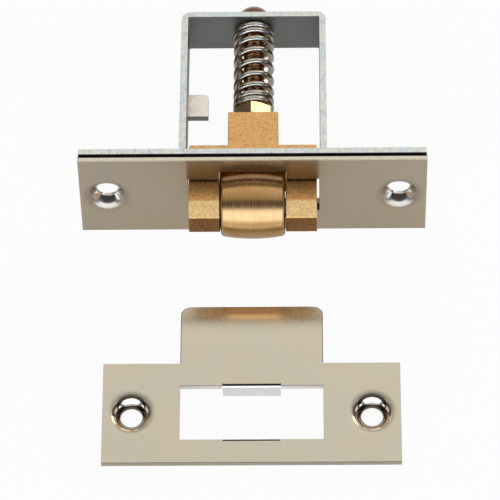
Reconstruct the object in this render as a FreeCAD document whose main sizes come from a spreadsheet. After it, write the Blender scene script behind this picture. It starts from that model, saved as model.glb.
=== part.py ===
import FreeCAD, Part
import math
import os
import Sketcher

# A mortice roller catch and its strike plate.
# The catch lies on the long lower edge of its forend and on the far end of its case.
# The strike plate lies in front of it, on its two folded tabs. Table top at Z = 0.
#
# Frame of the catch's own pieces: X along the forend, Y from the face into the case,
# Z across the forend from its middle line. Frame of the strike: X along, Y across, Z = 0 on its face.

doc = FreeCAD.newDocument("roller_catch")
sheet = doc.addObject("Spreadsheet::Sheet", "Sizes")

# Driving dimensions, millimetres and degrees
DRIVING = [
    ("forend_length", 70.0),
    ("forend_width", 22.0),
    ("face_thickness", 1.2),
    ("plate_gap", 0.5),
    ("backing_thickness", 1.6),
    ("backing_inset", 0.1),
    ("screw_edge", 5.5),
    ("screw_hole_radius", 2.15),
    ("dimple_depth", 2.0),
    ("dimple_rim", 0.7),
    ("dimple_land", 5.4),
    ("dimple_seat_clearance", 0.05),
    ("carrier_width", 25.8),
    ("carrier_height", 9.1),
    ("carrier_reach", 7.7),
    ("carrier_rear", 9.5),
    ("nose_chamfer_depth", 2.7),
    ("nose_chamfer_height", 2.35),
    ("tail_width", 10.2),
    ("tail_rear", 18.3),
    ("ear_side_clearance", 0.4),
    ("ear_top_clearance", 0.45),
    ("roller_length", 12.9),
    ("roller_radius", 6.6),
    ("roller_end_radius", 6.1),
    ("roller_edge_round", 0.7),
    ("roller_axis_forward", 2.8),
    ("roller_end_clearance", 0.25),
    ("roller_back_clearance", 0.8),
    ("roller_opening_side", 0.4),
    ("roller_opening_edge", 0.7),
    ("pin_radius", 1.5),
    ("pin_running_clearance", 0.05),
    ("pin_recess", 0.15),
    ("case_width", 30.0),
    ("case_depth", 45.4),
    ("case_corner_radius", 2.0),
    ("strip_thickness", 1.4),
    ("strip_width", 10.0),
    ("tab_reach", 4.2),
    ("tab_start", 24.0),
    ("tab_length", 6.0),
    ("tab_corner_radius", 1.0),
    ("rod_radius", 2.15),
    ("rod_guide_clearance", 0.25),
    ("thread_depth", 7.0),
    ("thread_clearance", 0.02),
    ("head_radius", 3.7),
    ("head_height", 4.6),
    ("head_shoulder", 1.2),
    ("head_seat_clearance", 0.05),
    ("nut_flats", 7.5),
    ("nut_thickness", 3.5),
    ("nut_turn", 6.0),
    ("spring_radius", 3.6),
    ("wire_radius", 0.62),
    ("spring_turns", 8.5),
    ("spring_seat_clearance", 0.02),
    ("strike_length", 59.0),
    ("strike_width", 22.0),
    ("strike_thickness", 1.5),
    ("strike_screw_edge", 5.7),
    ("strike_hole_radius", 2.2),
    ("strike_dimple_depth", 1.9),
    ("strike_dimple_rim", 1.0),
    ("strike_opening_length", 28.4),
    ("strike_opening_width", 12.0),
    ("strike_tab_width", 11.5),
    ("strike_tab_depth", 4.0),
    ("strike_tab_inset", 0.3),
    ("strike_tab_round", 0.8),
    ("lip_width", 28.4),
    ("lip_flat", 4.4),
    ("lip_radius", 23.6),
    ("lip_sweep", 24.0),
    ("lip_corner_radius", 2.3),
    ("strike_distance", 36.4),
    ("strike_shift", -0.3),
]


class Size:
    """A length with the sheet expression that drives it."""

    def __init__(self, text, number):
        self.text = text
        self.number = number

    def join(self, other, sign, number):
        return Size("(" + self.text + sign + as_size(other).text + ")", number)

    def __add__(self, other):
        return self.join(other, " + ", self.number + as_size(other).number)

    def __radd__(self, other):
        return as_size(other) + self

    def __sub__(self, other):
        return self.join(other, " - ", self.number - as_size(other).number)

    def __rsub__(self, other):
        return as_size(other) - self

    def __mul__(self, other):
        return self.join(other, " * ", self.number * as_size(other).number)

    def __truediv__(self, other):
        return self.join(other, " / ", self.number / as_size(other).number)

    def __neg__(self):
        return Size("(-" + self.text + ")", -self.number)


def as_size(value):
    if isinstance(value, Size):
        return value
    return Size(repr(float(value)), float(value))


def root(size):
    return Size("sqrt(" + size.text + ")", math.sqrt(size.number))


def sine(size):
    return Size("sin(" + size.text + " * 1deg)", math.sin(math.radians(size.number)))


def cosine(size):
    return Size("cos(" + size.text + " * 1deg)", math.cos(math.radians(size.number)))


for row, (alias, number) in enumerate(DRIVING, start=1):
    cell = "A" + str(row)
    sheet.set(cell, str(number))
    sheet.setAlias(cell, alias)
doc.recompute()


def size(alias):
    return Size("Sizes." + alias, float(sheet.get(alias)))


# Values shared by mating pieces
half_length = size("forend_length") / 2
half_width = size("forend_width") / 2
backing_front = size("face_thickness") + size("plate_gap")
backing_rear = backing_front + size("backing_thickness")
bridge_front = size("case_depth") - size("strip_thickness")
screw_pitch = size("forend_length") - size("screw_edge") * 2
strike_screw_pitch = size("strike_length") - size("strike_screw_edge") * 2
half_case = size("case_width") / 2
half_strip = size("strip_width") / 2
half_carrier = size("carrier_width") / 2
half_height = size("carrier_height") / 2
half_tail = size("tail_width") / 2
half_roller = size("roller_length") / 2
half_opening_ears = half_carrier + size("ear_side_clearance")
half_opening_height = half_height + size("ear_top_clearance")
half_opening_roller = half_roller + size("roller_opening_side")
half_opening_roller_height = size("roller_radius") + size("roller_opening_edge")
nut_rear = size("tail_rear") + size("nut_thickness")
ROOT_TWO = root(as_size(2))


# Document helpers
def new_body(label):
    body = doc.addObject("PartDesign::Body", label)
    body.Label = label
    return body


def origin_feature(body, role):
    for feature in body.Origin.OriginFeatures:
        if feature.Role == role:
            return feature


def new_sketch(body, name, role, offset=None):
    sketch = body.newObject("Sketcher::SketchObject", name)
    sketch.AttachmentSupport = [(origin_feature(body, role), "")]
    sketch.MapMode = "FlatFace"
    if offset is not None:
        sketch.setExpression("AttachmentOffset.Base.z", offset.text)
    return sketch


def place_point(sketch, geometry, position, point):
    """Binds one point of the sketch to the sheet."""
    for kind, coordinate, axis in (("DistanceX", point[0], -2), ("DistanceY", point[1], -1)):
        coordinate = as_size(coordinate)
        if abs(coordinate.number) < 1e-9:
            sketch.addConstraint(Sketcher.Constraint("PointOnObject", geometry, position, axis))
            continue
        index = sketch.addConstraint(
            Sketcher.Constraint(kind, -1, 1, geometry, position, coordinate.number)
        )
        sketch.setExpression("Constraints[" + str(index) + "]", coordinate.text)


def vector(point):
    return FreeCAD.Vector(as_size(point[0]).number, as_size(point[1]).number, 0)


def outline(sketch, points, arcs=None):
    """A closed outline through points. arcs gives the side's number, its middle point and its radius."""
    arcs = arcs or {}
    first = sketch.GeometryCount
    total = len(points)
    starts = []
    for side in range(total):
        start = vector(points[side])
        end = vector(points[(side + 1) % total])
        if side in arcs:
            middle = vector(arcs[side][0])
            # a sketch's arc runs anticlockwise, so a clockwise side is drawn from its end
            forward = (middle - start).cross(end - middle).z > 0
            if forward:
                sketch.addGeometry(Part.ArcOfCircle(start, middle, end), False)
            else:
                sketch.addGeometry(Part.ArcOfCircle(end, middle, start), False)
            starts.append((1, 2) if forward else (2, 1))
        else:
            sketch.addGeometry(Part.LineSegment(start, end), False)
            starts.append((1, 2))
    for side in range(total):
        following = (side + 1) % total
        sketch.addConstraint(Sketcher.Constraint(
            "Coincident", first + side, starts[side][1], first + following, starts[following][0]
        ))
    for side in range(total):
        place_point(sketch, first + side, starts[side][0], points[side])
        if side in arcs:
            radius = arcs[side][1]
            index = sketch.addConstraint(
                Sketcher.Constraint("Radius", first + side, radius.number)
            )
            sketch.setExpression("Constraints[" + str(index) + "]", radius.text)


def circle(sketch, centre, radius):
    index = sketch.addGeometry(
        Part.Circle(vector(centre), FreeCAD.Vector(0, 0, 1), radius.number), False
    )
    place_point(sketch, index, 3, centre)
    bound = sketch.addConstraint(Sketcher.Constraint("Radius", index, radius.number))
    sketch.setExpression("Constraints[" + str(bound) + "]", radius.text)


def rectangle(sketch, low, high):
    outline(sketch, [low, (high[0], low[1]), high, (low[0], high[1])])


def pad(body, sketch, length, side="One side", backwards=False):
    feature = body.newObject("PartDesign::Pad", sketch.Name + "_pad")
    feature.Profile = sketch
    feature.setExpression("Length", length.text)
    feature.SideType = side
    feature.Reversed = backwards
    sketch.Visibility = False
    doc.recompute()
    return feature


def pocket(body, sketch):
    """Cuts right through the body, both ways from the sketch."""
    before = body.Shape.Volume
    feature = body.newObject("PartDesign::Pocket", sketch.Name + "_pocket")
    feature.Profile = sketch
    feature.SideType = "Symmetric"
    feature.Type = "ThroughAll"
    doc.recompute()
    if body.Shape.Volume >= before:
        raise RuntimeError(sketch.Name + " cuts nothing")
    return feature


def turned(body, sketch, kind, role):
    feature = body.newObject("PartDesign::" + kind, sketch.Name + "_turned")
    feature.Profile = sketch
    feature.ReferenceAxis = (origin_feature(body, role), [""])
    feature.Angle = 360
    doc.recompute()
    return feature


def sketch_axis_turned(body, sketch, kind):
    """Turns a profile round the vertical axis of its own sketch."""
    feature = body.newObject("PartDesign::" + kind, sketch.Name + "_turned")
    feature.Profile = sketch
    feature.ReferenceAxis = (sketch, ["V_Axis"])
    feature.Angle = 360
    doc.recompute()
    return feature


def dimple_pair(body, name, role, plane_role, pitch, sizes):
    """Two pressed screw dimples: the sheet is pierced, pushed through at 45 degrees and left with a flat rim.

    The profile is drawn with the radius across and the depth along the piercing axis.
    """
    thickness, hole, depth, rim, land, down = sizes
    cone_top = hole + depth
    under = cone_top + thickness * (ROOT_TWO - 1)
    rim_bottom = depth + rim
    rim_edge = cone_top + thickness * ROOT_TWO - rim_bottom
    half_pitch = pitch / 2
    for number, side in ((1, half_pitch), (2, -half_pitch)):
        hole_sketch = new_sketch(body, name + "_hole_" + str(number), plane_role)
        circle(hole_sketch, (side, 0), land)
        pocket(body, hole_sketch)
        profile = new_sketch(body, name + "_profile_" + str(number), role)
        profile.setExpression("AttachmentOffset.Base.x", side.text)
        outline(profile, [
            (hole, down * depth),
            (cone_top, 0),
            (land, 0),
            (land, down * thickness),
            (under, down * thickness),
            (rim_edge, down * rim_bottom),
            (hole, down * rim_bottom),
        ])
        sketch_axis_turned(body, profile, "Revolution")


# Face plate: satin nickel-plated sheet, pierced for the ears and the roller, with two screw dimples
face_plate = new_body("face_plate")
face_sketch = new_sketch(face_plate, "face_outline", "XZ_Plane")
rectangle(face_sketch, (-half_length, -half_width), (half_length, half_width))
pad(face_plate, face_sketch, size("face_thickness"), backwards=True)
cross = [
    (-half_opening_ears, -half_opening_height),
    (-half_opening_roller, -half_opening_height),
    (-half_opening_roller, -half_opening_roller_height),
    (half_opening_roller, -half_opening_roller_height),
    (half_opening_roller, -half_opening_height),
    (half_opening_ears, -half_opening_height),
    (half_opening_ears, half_opening_height),
    (half_opening_roller, half_opening_height),
    (half_opening_roller, half_opening_roller_height),
    (-half_opening_roller, half_opening_roller_height),
    (-half_opening_roller, half_opening_height),
    (-half_opening_ears, half_opening_height),
]
face_opening = new_sketch(face_plate, "face_opening", "XZ_Plane")
outline(face_opening, cross)
pocket(face_plate, face_opening)
dimple_pair(
    face_plate, "face_dimple", "XY_Plane", "XZ_Plane", screw_pitch,
    (
        size("face_thickness"), size("screw_hole_radius"), size("dimple_depth"),
        size("dimple_rim"), size("dimple_land"), as_size(1),
    ),
)

# Backing plate: zinc-plated sheet behind the face. Its holes hold the dimples,
# and the ends of its opening hold the two legs of the case frame.
back_plate = new_body("back_plate")
back_sketch = new_sketch(back_plate, "back_outline", "XZ_Plane", -backing_front)
back_half_length = half_length - size("backing_inset")
back_half_width = half_width - size("backing_inset")
rectangle(back_sketch, (-back_half_length, -back_half_width), (back_half_length, back_half_width))
pad(back_plate, back_sketch, size("backing_thickness"), backwards=True)
dimple_passage = (
    size("screw_hole_radius") + size("dimple_depth") + size("face_thickness") * ROOT_TWO
    - backing_front + size("dimple_seat_clearance")
)
back_holes = new_sketch(back_plate, "back_holes", "XZ_Plane")
circle(back_holes, (screw_pitch / 2, 0), dimple_passage)
circle(back_holes, (-screw_pitch / 2, 0), dimple_passage)
pocket(back_plate, back_holes)
back_opening = new_sketch(back_plate, "back_opening", "XZ_Plane")
outline(back_opening, [
    (-half_case, -half_strip),
    (-half_opening_roller, -half_strip),
    (-half_opening_roller, -half_opening_roller_height),
    (half_opening_roller, -half_opening_roller_height),
    (half_opening_roller, -half_strip),
    (half_case, -half_strip),
    (half_case, half_strip),
    (half_opening_roller, half_strip),
    (half_opening_roller, half_opening_roller_height),
    (-half_opening_roller, half_opening_roller_height),
    (-half_opening_roller, half_strip),
    (-half_case, half_strip),
])
pocket(back_plate, back_opening)

# Case frame: one bent zinc-plated strip, two legs and a bridge, with a stop tab folded in from the left leg
case_frame = new_body("case_frame")
strip = size("strip_thickness")
corner = size("case_corner_radius")
corner_middle = corner * (1 - 1 / math.sqrt(2))
frame_sketch = new_sketch(case_frame, "frame_outline", "XY_Plane")
outline(
    frame_sketch,
    [
        (-half_case, backing_front),
        (-(half_case - strip), backing_front),
        (-(half_case - strip), bridge_front),
        (half_case - strip, bridge_front),
        (half_case - strip, backing_front),
        (half_case, backing_front),
        (half_case, size("case_depth") - corner),
        (half_case - corner, size("case_depth")),
        (-(half_case - corner), size("case_depth")),
        (-half_case, size("case_depth") - corner),
    ],
    {
        6: ((half_case - corner_middle, size("case_depth") - corner_middle), corner),
        8: ((-(half_case - corner_middle), size("case_depth") - corner_middle), corner),
    },
)
pad(case_frame, frame_sketch, size("strip_width"), side="Symmetric")
tab_root = -(half_case - strip)
tab_end = tab_root + size("tab_reach")
tab_rear = size("tab_start") + size("tab_length")
tab_round = size("tab_corner_radius")
tab_middle = tab_round * (1 - 1 / math.sqrt(2))
tab_sketch = new_sketch(case_frame, "tab_outline", "XY_Plane", -half_strip)
outline(
    tab_sketch,
    [
        (tab_root - strip / 2, size("tab_start")),
        (tab_end, size("tab_start")),
        (tab_end, tab_rear - tab_round),
        (tab_end - tab_round, tab_rear),
        (tab_root - strip / 2, tab_rear),
    ],
    {2: ((tab_end - tab_middle, tab_rear - tab_middle), tab_round)},
)
pad(case_frame, tab_sketch, strip)
rod_guide = new_sketch(case_frame, "rod_guide", "XZ_Plane", -size("case_depth"))
circle(rod_guide, (0, 0), size("rod_radius") + size("rod_guide_clearance"))
guide_cut = case_frame.newObject("PartDesign::Pocket", "rod_guide_pocket")
guide_cut.Profile = rod_guide
guide_cut.setExpression("Length", (strip * 2).text)
guide_cut.SideType = "Symmetric"
doc.recompute()

# Roller carrier: one brass block with a chamfered nose, slotted for the roller and drilled for the pin,
# narrowed behind to a tail that takes the adjusting screw
roller_carrier = new_body("roller_carrier")
nose = -size("carrier_reach")
nose_step = nose + size("nose_chamfer_depth")
nose_half = half_height - size("nose_chamfer_height")
carrier_sketch = new_sketch(roller_carrier, "carrier_section", "YZ_Plane")
outline(carrier_sketch, [
    (nose, -nose_half),
    (nose_step, -half_height),
    (size("carrier_rear"), -half_height),
    (size("carrier_rear"), half_height),
    (nose_step, half_height),
    (nose, nose_half),
])
pad(roller_carrier, carrier_sketch, size("carrier_width"), side="Symmetric")
tail_sketch = new_sketch(roller_carrier, "tail_outline", "XY_Plane")
rectangle(tail_sketch, (-half_tail, size("carrier_rear") - strip), (half_tail, size("tail_rear")))
pad(roller_carrier, tail_sketch, size("carrier_height"), side="Symmetric")
slot_half = half_roller + size("roller_end_clearance")
slot_bottom = size("roller_radius") - size("roller_axis_forward") + size("roller_back_clearance")
slot_sketch = new_sketch(roller_carrier, "roller_slot", "XY_Plane")
rectangle(slot_sketch, (-slot_half, nose - strip), (slot_half, slot_bottom))
pocket(roller_carrier, slot_sketch)
pin_hole = new_sketch(roller_carrier, "pin_hole", "YZ_Plane")
circle(pin_hole, (-size("roller_axis_forward"), 0), size("pin_radius"))
pocket(roller_carrier, pin_hole)
thread_start = size("tail_rear") - size("thread_depth")
thread_sketch = new_sketch(roller_carrier, "thread_bore", "XZ_Plane", -size("tail_rear"))
circle(thread_sketch, (0, 0), size("rod_radius") + size("thread_clearance"))
thread_cut = roller_carrier.newObject("PartDesign::Pocket", "thread_bore_pocket")
thread_cut.Profile = thread_sketch
thread_cut.setExpression("Length", size("thread_depth").text)
thread_cut.Reversed = True
volume_before = roller_carrier.Shape.Volume
doc.recompute()
if roller_carrier.Shape.Volume >= volume_before:
    thread_cut.Reversed = False
    doc.recompute()

# Roller: barrel-turned brass, free on its pin
roller = new_body("roller")
crown = size("roller_radius")
end_radius = size("roller_end_radius")
edge = size("roller_edge_round")
edge_middle = edge * (1 - 1 / math.sqrt(2))
axis_y = -size("roller_axis_forward")
bore = size("pin_radius") + size("pin_running_clearance")
barrel_half = half_roller - edge
barrel_rise = crown - end_radius
barrel_arc = (barrel_half * barrel_half + barrel_rise * barrel_rise) / (barrel_rise * 2)
roller_sketch = new_sketch(roller, "roller_section", "XY_Plane")
roller_sketch.setExpression("AttachmentOffset.Base.y", axis_y.text)
outline(
    roller_sketch,
    [
        (-half_roller, bore),
        (half_roller, bore),
        (half_roller, end_radius - edge),
        (barrel_half, end_radius),
        (-barrel_half, end_radius),
        (-half_roller, end_radius - edge),
    ],
    {
        2: ((half_roller - edge_middle, end_radius - edge_middle), edge),
        3: ((0, crown), barrel_arc),
        4: ((-(half_roller - edge_middle), end_radius - edge_middle), edge),
    },
)
roller_turned = roller.newObject("PartDesign::Revolution", "roller_turned")
roller_turned.Profile = roller_sketch
roller_turned.ReferenceAxis = (roller_sketch, ["H_Axis"])
roller_turned.Angle = 360
doc.recompute()

# Roller pin: steel, pressed into both ears of the carrier
roller_pin = new_body("roller_pin")
pin_sketch = new_sketch(roller_pin, "pin_section", "YZ_Plane")
circle(pin_sketch, (axis_y, 0), size("pin_radius"))
pad(roller_pin, pin_sketch, size("carrier_width") - size("pin_recess") * 2, side="Symmetric")

# Adjusting screw: brass rod screwed into the carrier's tail, with a round head behind the bridge
adjusting_screw = new_body("adjusting_screw")
rod = size("rod_radius")
head_start = size("case_depth") + size("head_seat_clearance")
head_shoulder = head_start + size("head_shoulder")
head_end = head_start + size("head_height")
dome_rise = size("head_height") - size("head_shoulder")
dome_radius = (size("head_radius") * size("head_radius") + dome_rise * dome_rise) / (dome_rise * 2)
dome_centre = head_end - dome_radius
dome_half = size("head_radius") * 0.6
dome_middle = dome_centre + root(dome_radius * dome_radius - dome_half * dome_half)
screw_sketch = new_sketch(adjusting_screw, "screw_section", "XY_Plane")
outline(
    screw_sketch,
    [
        (0, thread_start + size("thread_clearance")),
        (rod, thread_start + size("thread_clearance")),
        (rod, head_start),
        (size("head_radius"), head_start),
        (size("head_radius"), head_shoulder),
        (0, head_end),
    ],
    {4: ((dome_half, dome_middle), dome_radius)},
)
turned(adjusting_screw, screw_sketch, "Revolution", "Y_Axis")

# Lock nut: brass hexagon, tightened against the carrier's tail
lock_nut = new_body("lock_nut")
nut_sketch = new_sketch(lock_nut, "nut_outline", "XZ_Plane", -size("tail_rear"))
nut_corner = size("nut_flats") / math.sqrt(3)
nut_points = []
for number in range(6):
    turn = size("nut_turn") + (90 + 60 * number)
    nut_points.append((nut_corner * cosine(turn), nut_corner * sine(turn)))
outline(nut_sketch, nut_points)
circle(nut_sketch, (0, 0), rod + size("thread_clearance"))
pad(lock_nut, nut_sketch, size("nut_thickness"), backwards=True)

# Return spring: round steel wire with closed ends, between the lock nut and the bridge.
# Each end of the wire stops at the side, a quarter turn past the top.
SPRING_STEPS_PER_TURN = 24
CLOSED_TURNS = 0.5
END_TURN = 0.25
wire = size("wire_radius").number
coil = size("spring_radius").number
turns = size("spring_turns").number
spring_front = nut_rear.number + size("spring_seat_clearance").number + wire
spring_back = bridge_front.number - size("spring_seat_clearance").number - wire
closed_pitch = 2 * wire + 2 * size("spring_seat_clearance").number
open_length = spring_back - spring_front - turns * closed_pitch
spring_points = []
for step in range(int(turns * SPRING_STEPS_PER_TURN) + 1):
    turn_count = step / SPRING_STEPS_PER_TURN
    share = (turn_count - CLOSED_TURNS) / (turns - 2 * CLOSED_TURNS)
    share = min(max(share, 0.0), 1.0)
    along = spring_front + closed_pitch * turn_count
    along += open_length * (1 - math.cos(math.pi * share)) / 2
    phase = 2 * math.pi * (turn_count - END_TURN)
    spring_points.append(FreeCAD.Vector(coil * math.sin(phase), along, coil * math.cos(phase)))
spring_curve = Part.BSplineCurve()
spring_curve.interpolate(spring_points)
spring_path = Part.Wire([spring_curve.toShape()])
first_direction = spring_curve.tangent(spring_curve.FirstParameter)[0]
wire_circle = Part.Wire([Part.makeCircle(wire, spring_points[0], first_direction)])
spring_sweep = Part.BRepOffsetAPI.MakePipeShell(spring_path)
spring_sweep.setBiNormalMode(FreeCAD.Vector(0, 1, 0))
spring_sweep.add(wire_circle)
spring_sweep.build()
spring_sweep.makeSolid()
spring_shape = spring_sweep.shape()
return_spring = doc.addObject("Part::Feature", "return_spring")
return_spring.Label = "return_spring"
return_spring.Shape = spring_shape

# Strike plate: one nickel-plated pressing with a rectangular opening, two folded tabs,
# two screw dimples and a lip that curves away from the door's edge
strike_plate = new_body("strike_plate")
half_strike = size("strike_length") / 2
half_strike_width = size("strike_width") / 2
strike_thickness = size("strike_thickness")
strike_sketch = new_sketch(strike_plate, "strike_outline", "XY_Plane")
rectangle(strike_sketch, (-half_strike, -half_strike_width), (half_strike, half_strike_width))
pad(strike_plate, strike_sketch, strike_thickness, backwards=True)
lip_start = half_strike_width + size("lip_flat")
lip_outer = size("lip_radius")
lip_inner = size("lip_radius") - strike_thickness
sweep = size("lip_sweep")
middle_sweep = sweep / 2
lip_section = new_sketch(strike_plate, "lip_section", "YZ_Plane")
outline(
    lip_section,
    [
        (half_strike_width - strike_thickness, 0),
        (lip_start, 0),
        (lip_start + lip_outer * sine(sweep), lip_outer * cosine(sweep) - lip_outer),
        (lip_start + lip_inner * sine(sweep), lip_inner * cosine(sweep) - lip_outer),
        (lip_start, -strike_thickness),
        (half_strike_width - strike_thickness, -strike_thickness),
    ],
    {
        1: (
            (lip_start + lip_outer * sine(middle_sweep), lip_outer * cosine(middle_sweep) - lip_outer),
            lip_outer,
        ),
        3: (
            (lip_start + lip_inner * sine(middle_sweep), lip_inner * cosine(middle_sweep) - lip_outer),
            lip_inner,
        ),
    },
)
pad(strike_plate, lip_section, size("lip_width"), side="Symmetric")
lip_end = lip_start + lip_outer * sine(sweep)
half_lip = size("lip_width") / 2
lip_round = size("lip_corner_radius")
round_middle = lip_round * (1 - 1 / math.sqrt(2))
corner_cut = new_sketch(strike_plate, "lip_corners", "XY_Plane")
for side in (1, -1):
    outline(
        corner_cut,
        [
            (half_lip * side, lip_end - lip_round),
            ((half_lip + strike_thickness) * side, lip_end - lip_round),
            ((half_lip + strike_thickness) * side, lip_end + strike_thickness),
            ((half_lip - lip_round) * side, lip_end + strike_thickness),
            ((half_lip - lip_round) * side, lip_end),
        ],
        {4: (((half_lip - round_middle) * side, lip_end - round_middle), lip_round)},
    )
pocket(strike_plate, corner_cut)
half_opening = size("strike_opening_width") / 2
strike_opening = new_sketch(strike_plate, "strike_opening", "XY_Plane")
half_strike_opening = size("strike_opening_length") / 2
rectangle(strike_opening, (-half_strike_opening, -half_opening), (half_strike_opening, half_opening))
pocket(strike_plate, strike_opening)
tab_face = half_opening - size("strike_tab_inset")
tab_bend = size("strike_tab_round")
bend_middle = tab_bend * (1 - 1 / math.sqrt(2))
for name, side in (("far_tab", 1), ("near_tab", -1)):
    strike_tab = new_sketch(strike_plate, name, "YZ_Plane")
    outline(
        strike_tab,
        [
            ((tab_face + tab_bend) * side, 0),
            ((tab_face + strike_thickness + tab_bend) * side, 0),
            ((tab_face + strike_thickness + tab_bend) * side, -strike_thickness),
            ((tab_face + strike_thickness) * side, -strike_thickness),
            ((tab_face + strike_thickness) * side, -size("strike_tab_depth")),
            (tab_face * side, -size("strike_tab_depth")),
            (tab_face * side, -tab_bend),
        ],
        {6: (((tab_face + bend_middle) * side, -bend_middle), tab_bend)},
    )
    pad(strike_plate, strike_tab, size("strike_tab_width"), side="Symmetric")
dimple_pair(
    strike_plate, "strike_dimple", "XZ_Plane", "XY_Plane", strike_screw_pitch,
    (
        strike_thickness, size("strike_hole_radius"), size("strike_dimple_depth"),
        size("strike_dimple_rim"), size("dimple_land"), as_size(-1),
    ),
)

# Resting attitude: the catch leans back until the lower edge of its bridge meets the table
back_lower_edge = back_half_width.number
lean = math.atan2(
    back_lower_edge - half_strip.number, size("case_depth").number - backing_rear.number
)
lean_turn = FreeCAD.Rotation(FreeCAD.Vector(1, 0, 0), -math.degrees(lean))
resting_edge = lean_turn.multVec(FreeCAD.Vector(0, backing_rear.number, -back_lower_edge))
catch_pieces = [
    face_plate, back_plate, case_frame, roller_carrier, roller,
    roller_pin, adjusting_screw, lock_nut, return_spring,
]
head_middle = lean_turn.multVec(FreeCAD.Vector(0, dome_centre.number, 0)) - resting_edge
rearmost = head_middle.y + dome_radius.number
strike_near = -size("strike_distance").number - size("strike_width").number
middle_y = (rearmost + strike_near) / 2
catch_base = FreeCAD.Vector(0, -middle_y, 0) - resting_edge
for piece in catch_pieces:
    piece.Placement = FreeCAD.Placement(catch_base, lean_turn)
strike_plate.Placement = FreeCAD.Placement(
    FreeCAD.Vector(
        size("strike_shift").number,
        strike_near + half_strike_width.number - middle_y,
        size("strike_tab_depth").number,
    ),
    FreeCAD.Rotation(),
)
doc.recompute()

# Check and write every piece
for item in doc.Objects:
    if "Invalid" in item.State or "Error" in item.State:
        raise RuntimeError(item.Name + " failed: " + str(item.State))
os.makedirs("parts", exist_ok=True)
for piece in catch_pieces + [strike_plate]:
    shape = piece.Shape
    if shape.isNull() or not shape.isValid():
        raise RuntimeError(piece.Label + " is not a valid shape")
    shape.exportStep("parts/" + piece.Label + ".step")
    box = shape.BoundBox
    print(
        piece.Label, "solids", len(shape.Solids), "volume", round(shape.Volume, 2),
        "x", round(box.XMin, 2), round(box.XMax, 2), "y", round(box.YMin, 2), round(box.YMax, 2),
        "z", round(box.ZMin, 2), round(box.ZMax, 2),
    )
print("lean", round(math.degrees(lean), 4), "catch base", catch_base, "middle", round(middle_y, 4))
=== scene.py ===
import math

import bmesh
import bpy
from mathutils import Matrix, Vector


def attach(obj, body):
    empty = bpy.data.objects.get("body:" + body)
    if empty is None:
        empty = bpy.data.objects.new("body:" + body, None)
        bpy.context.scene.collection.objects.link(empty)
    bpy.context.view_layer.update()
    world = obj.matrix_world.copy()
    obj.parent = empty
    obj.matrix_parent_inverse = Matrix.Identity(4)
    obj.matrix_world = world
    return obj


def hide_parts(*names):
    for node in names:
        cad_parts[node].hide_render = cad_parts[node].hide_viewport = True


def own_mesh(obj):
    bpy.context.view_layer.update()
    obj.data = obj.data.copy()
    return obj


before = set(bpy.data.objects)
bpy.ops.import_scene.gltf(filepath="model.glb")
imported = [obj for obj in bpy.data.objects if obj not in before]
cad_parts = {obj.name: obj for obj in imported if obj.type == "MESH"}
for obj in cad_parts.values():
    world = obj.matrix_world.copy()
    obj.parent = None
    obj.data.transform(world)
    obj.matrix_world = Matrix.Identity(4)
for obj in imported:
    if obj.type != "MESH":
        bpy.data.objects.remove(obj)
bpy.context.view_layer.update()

# Face plate
# Nickel-plated steel sheet with a satin finish, pierced in the shape of a cross for the carrier's
# ears and the roller. Two screw dimples are pressed into it, and they seat in the plate behind.
MM = 0.001
# the catch lies on its forend's lower edge and its case's far end, so its depth axis leans below +Y
LEAN = math.radians(7.9776)
CATCH_BASE = Vector((0.0, 3.5216, 11.2525)) * MM
CATCH = Matrix.Translation(CATCH_BASE) @ Matrix.Rotation(-LEAN, 4, "X") @ Matrix.Scale(MM, 4)
CATCH_TURN = (-LEAN, 0.0, 0.0)
FOREND_LENGTH = 70.0
FOREND_WIDTH = 22.0
FACE_THICKNESS = 1.2
SCREW_OFFSET = 29.5
# the opening's wide arm, for the ears: left end, right end and half height
EAR_OPENING = (-13.04, 13.38, 5.0)
# its tall arm, for the roller: half width and half height
ROLLER_OPENING = (6.85, 7.3)
DIMPLE_STEPS = 64
DIMPLE_LAND = 5.2
FACE_DIMPLE = {
    "hole": 2.15, "depth": 2.0, "rim": 0.7, "thickness": FACE_THICKNESS,
    "start": 4.92, "bend": 2.4, "slope": 53,
}
SATIN_COLOUR = (0.53, 0.43, 0.305)
SHEARED_COLOUR = (0.77, 0.69, 0.54)
# painted shade: a black line along the back of the plate's edges, where they meet the gap to the backing
# plate
GAP_LINE_SHADE_COLOUR = (0.03, 0.028, 0.025)
# painted reflection of the brass ears, brown on the plate over them
EAR_REFLECTION_COLOUR = (0.09, 0.052, 0.026)
FACE_CUP_COLOUR = (0.62, 0.55, 0.46)
# painted shade: the walls of the opening are near black
FACE_WALL_SHADE_COLOUR = (0.05, 0.032, 0.022)
# the radii between which the cup's bright rub marks end, and where the painted shade round it starts
FACE_CUP_RUBBED = (2.7, 3.4)
DIMPLE_SHADE_START = 4.1


def math_node(tree, operation, first, second=None, third=None):
    """One arithmetic node. Each input is a number or another node's socket."""
    step = tree.nodes.new("ShaderNodeMath")
    step.operation = operation
    for index, value in enumerate((first, second, third)):
        if value is None:
            continue
        if isinstance(value, (int, float)):
            step.inputs[index].default_value = value
        else:
            tree.links.new(value, step.inputs[index])
    return step.outputs[0]


def new_metal(name, colour, roughness):
    """A metal shader, and the tree that its pattern is built in."""
    metal = bpy.data.materials.new(name)
    metal.use_nodes = True
    tree = metal.node_tree
    shader = tree.nodes["Principled BSDF"]
    shader.inputs["Base Color"].default_value = (*colour, 1.0)
    shader.inputs["Metallic"].default_value = 1.0
    shader.inputs["Roughness"].default_value = roughness
    return metal, tree, shader


def piece_point(tree, base, turn):
    """The shaded point in a piece's own frame, in millimetres."""
    place = tree.nodes.new("ShaderNodeTexCoord")
    mapping = tree.nodes.new("ShaderNodeMapping")
    mapping.vector_type = "TEXTURE"
    mapping.inputs["Location"].default_value = base
    mapping.inputs["Rotation"].default_value = turn
    mapping.inputs["Scale"].default_value = (MM, MM, MM)
    tree.links.new(place.outputs["Object"], mapping.inputs["Vector"])
    return mapping.outputs["Vector"]


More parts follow.
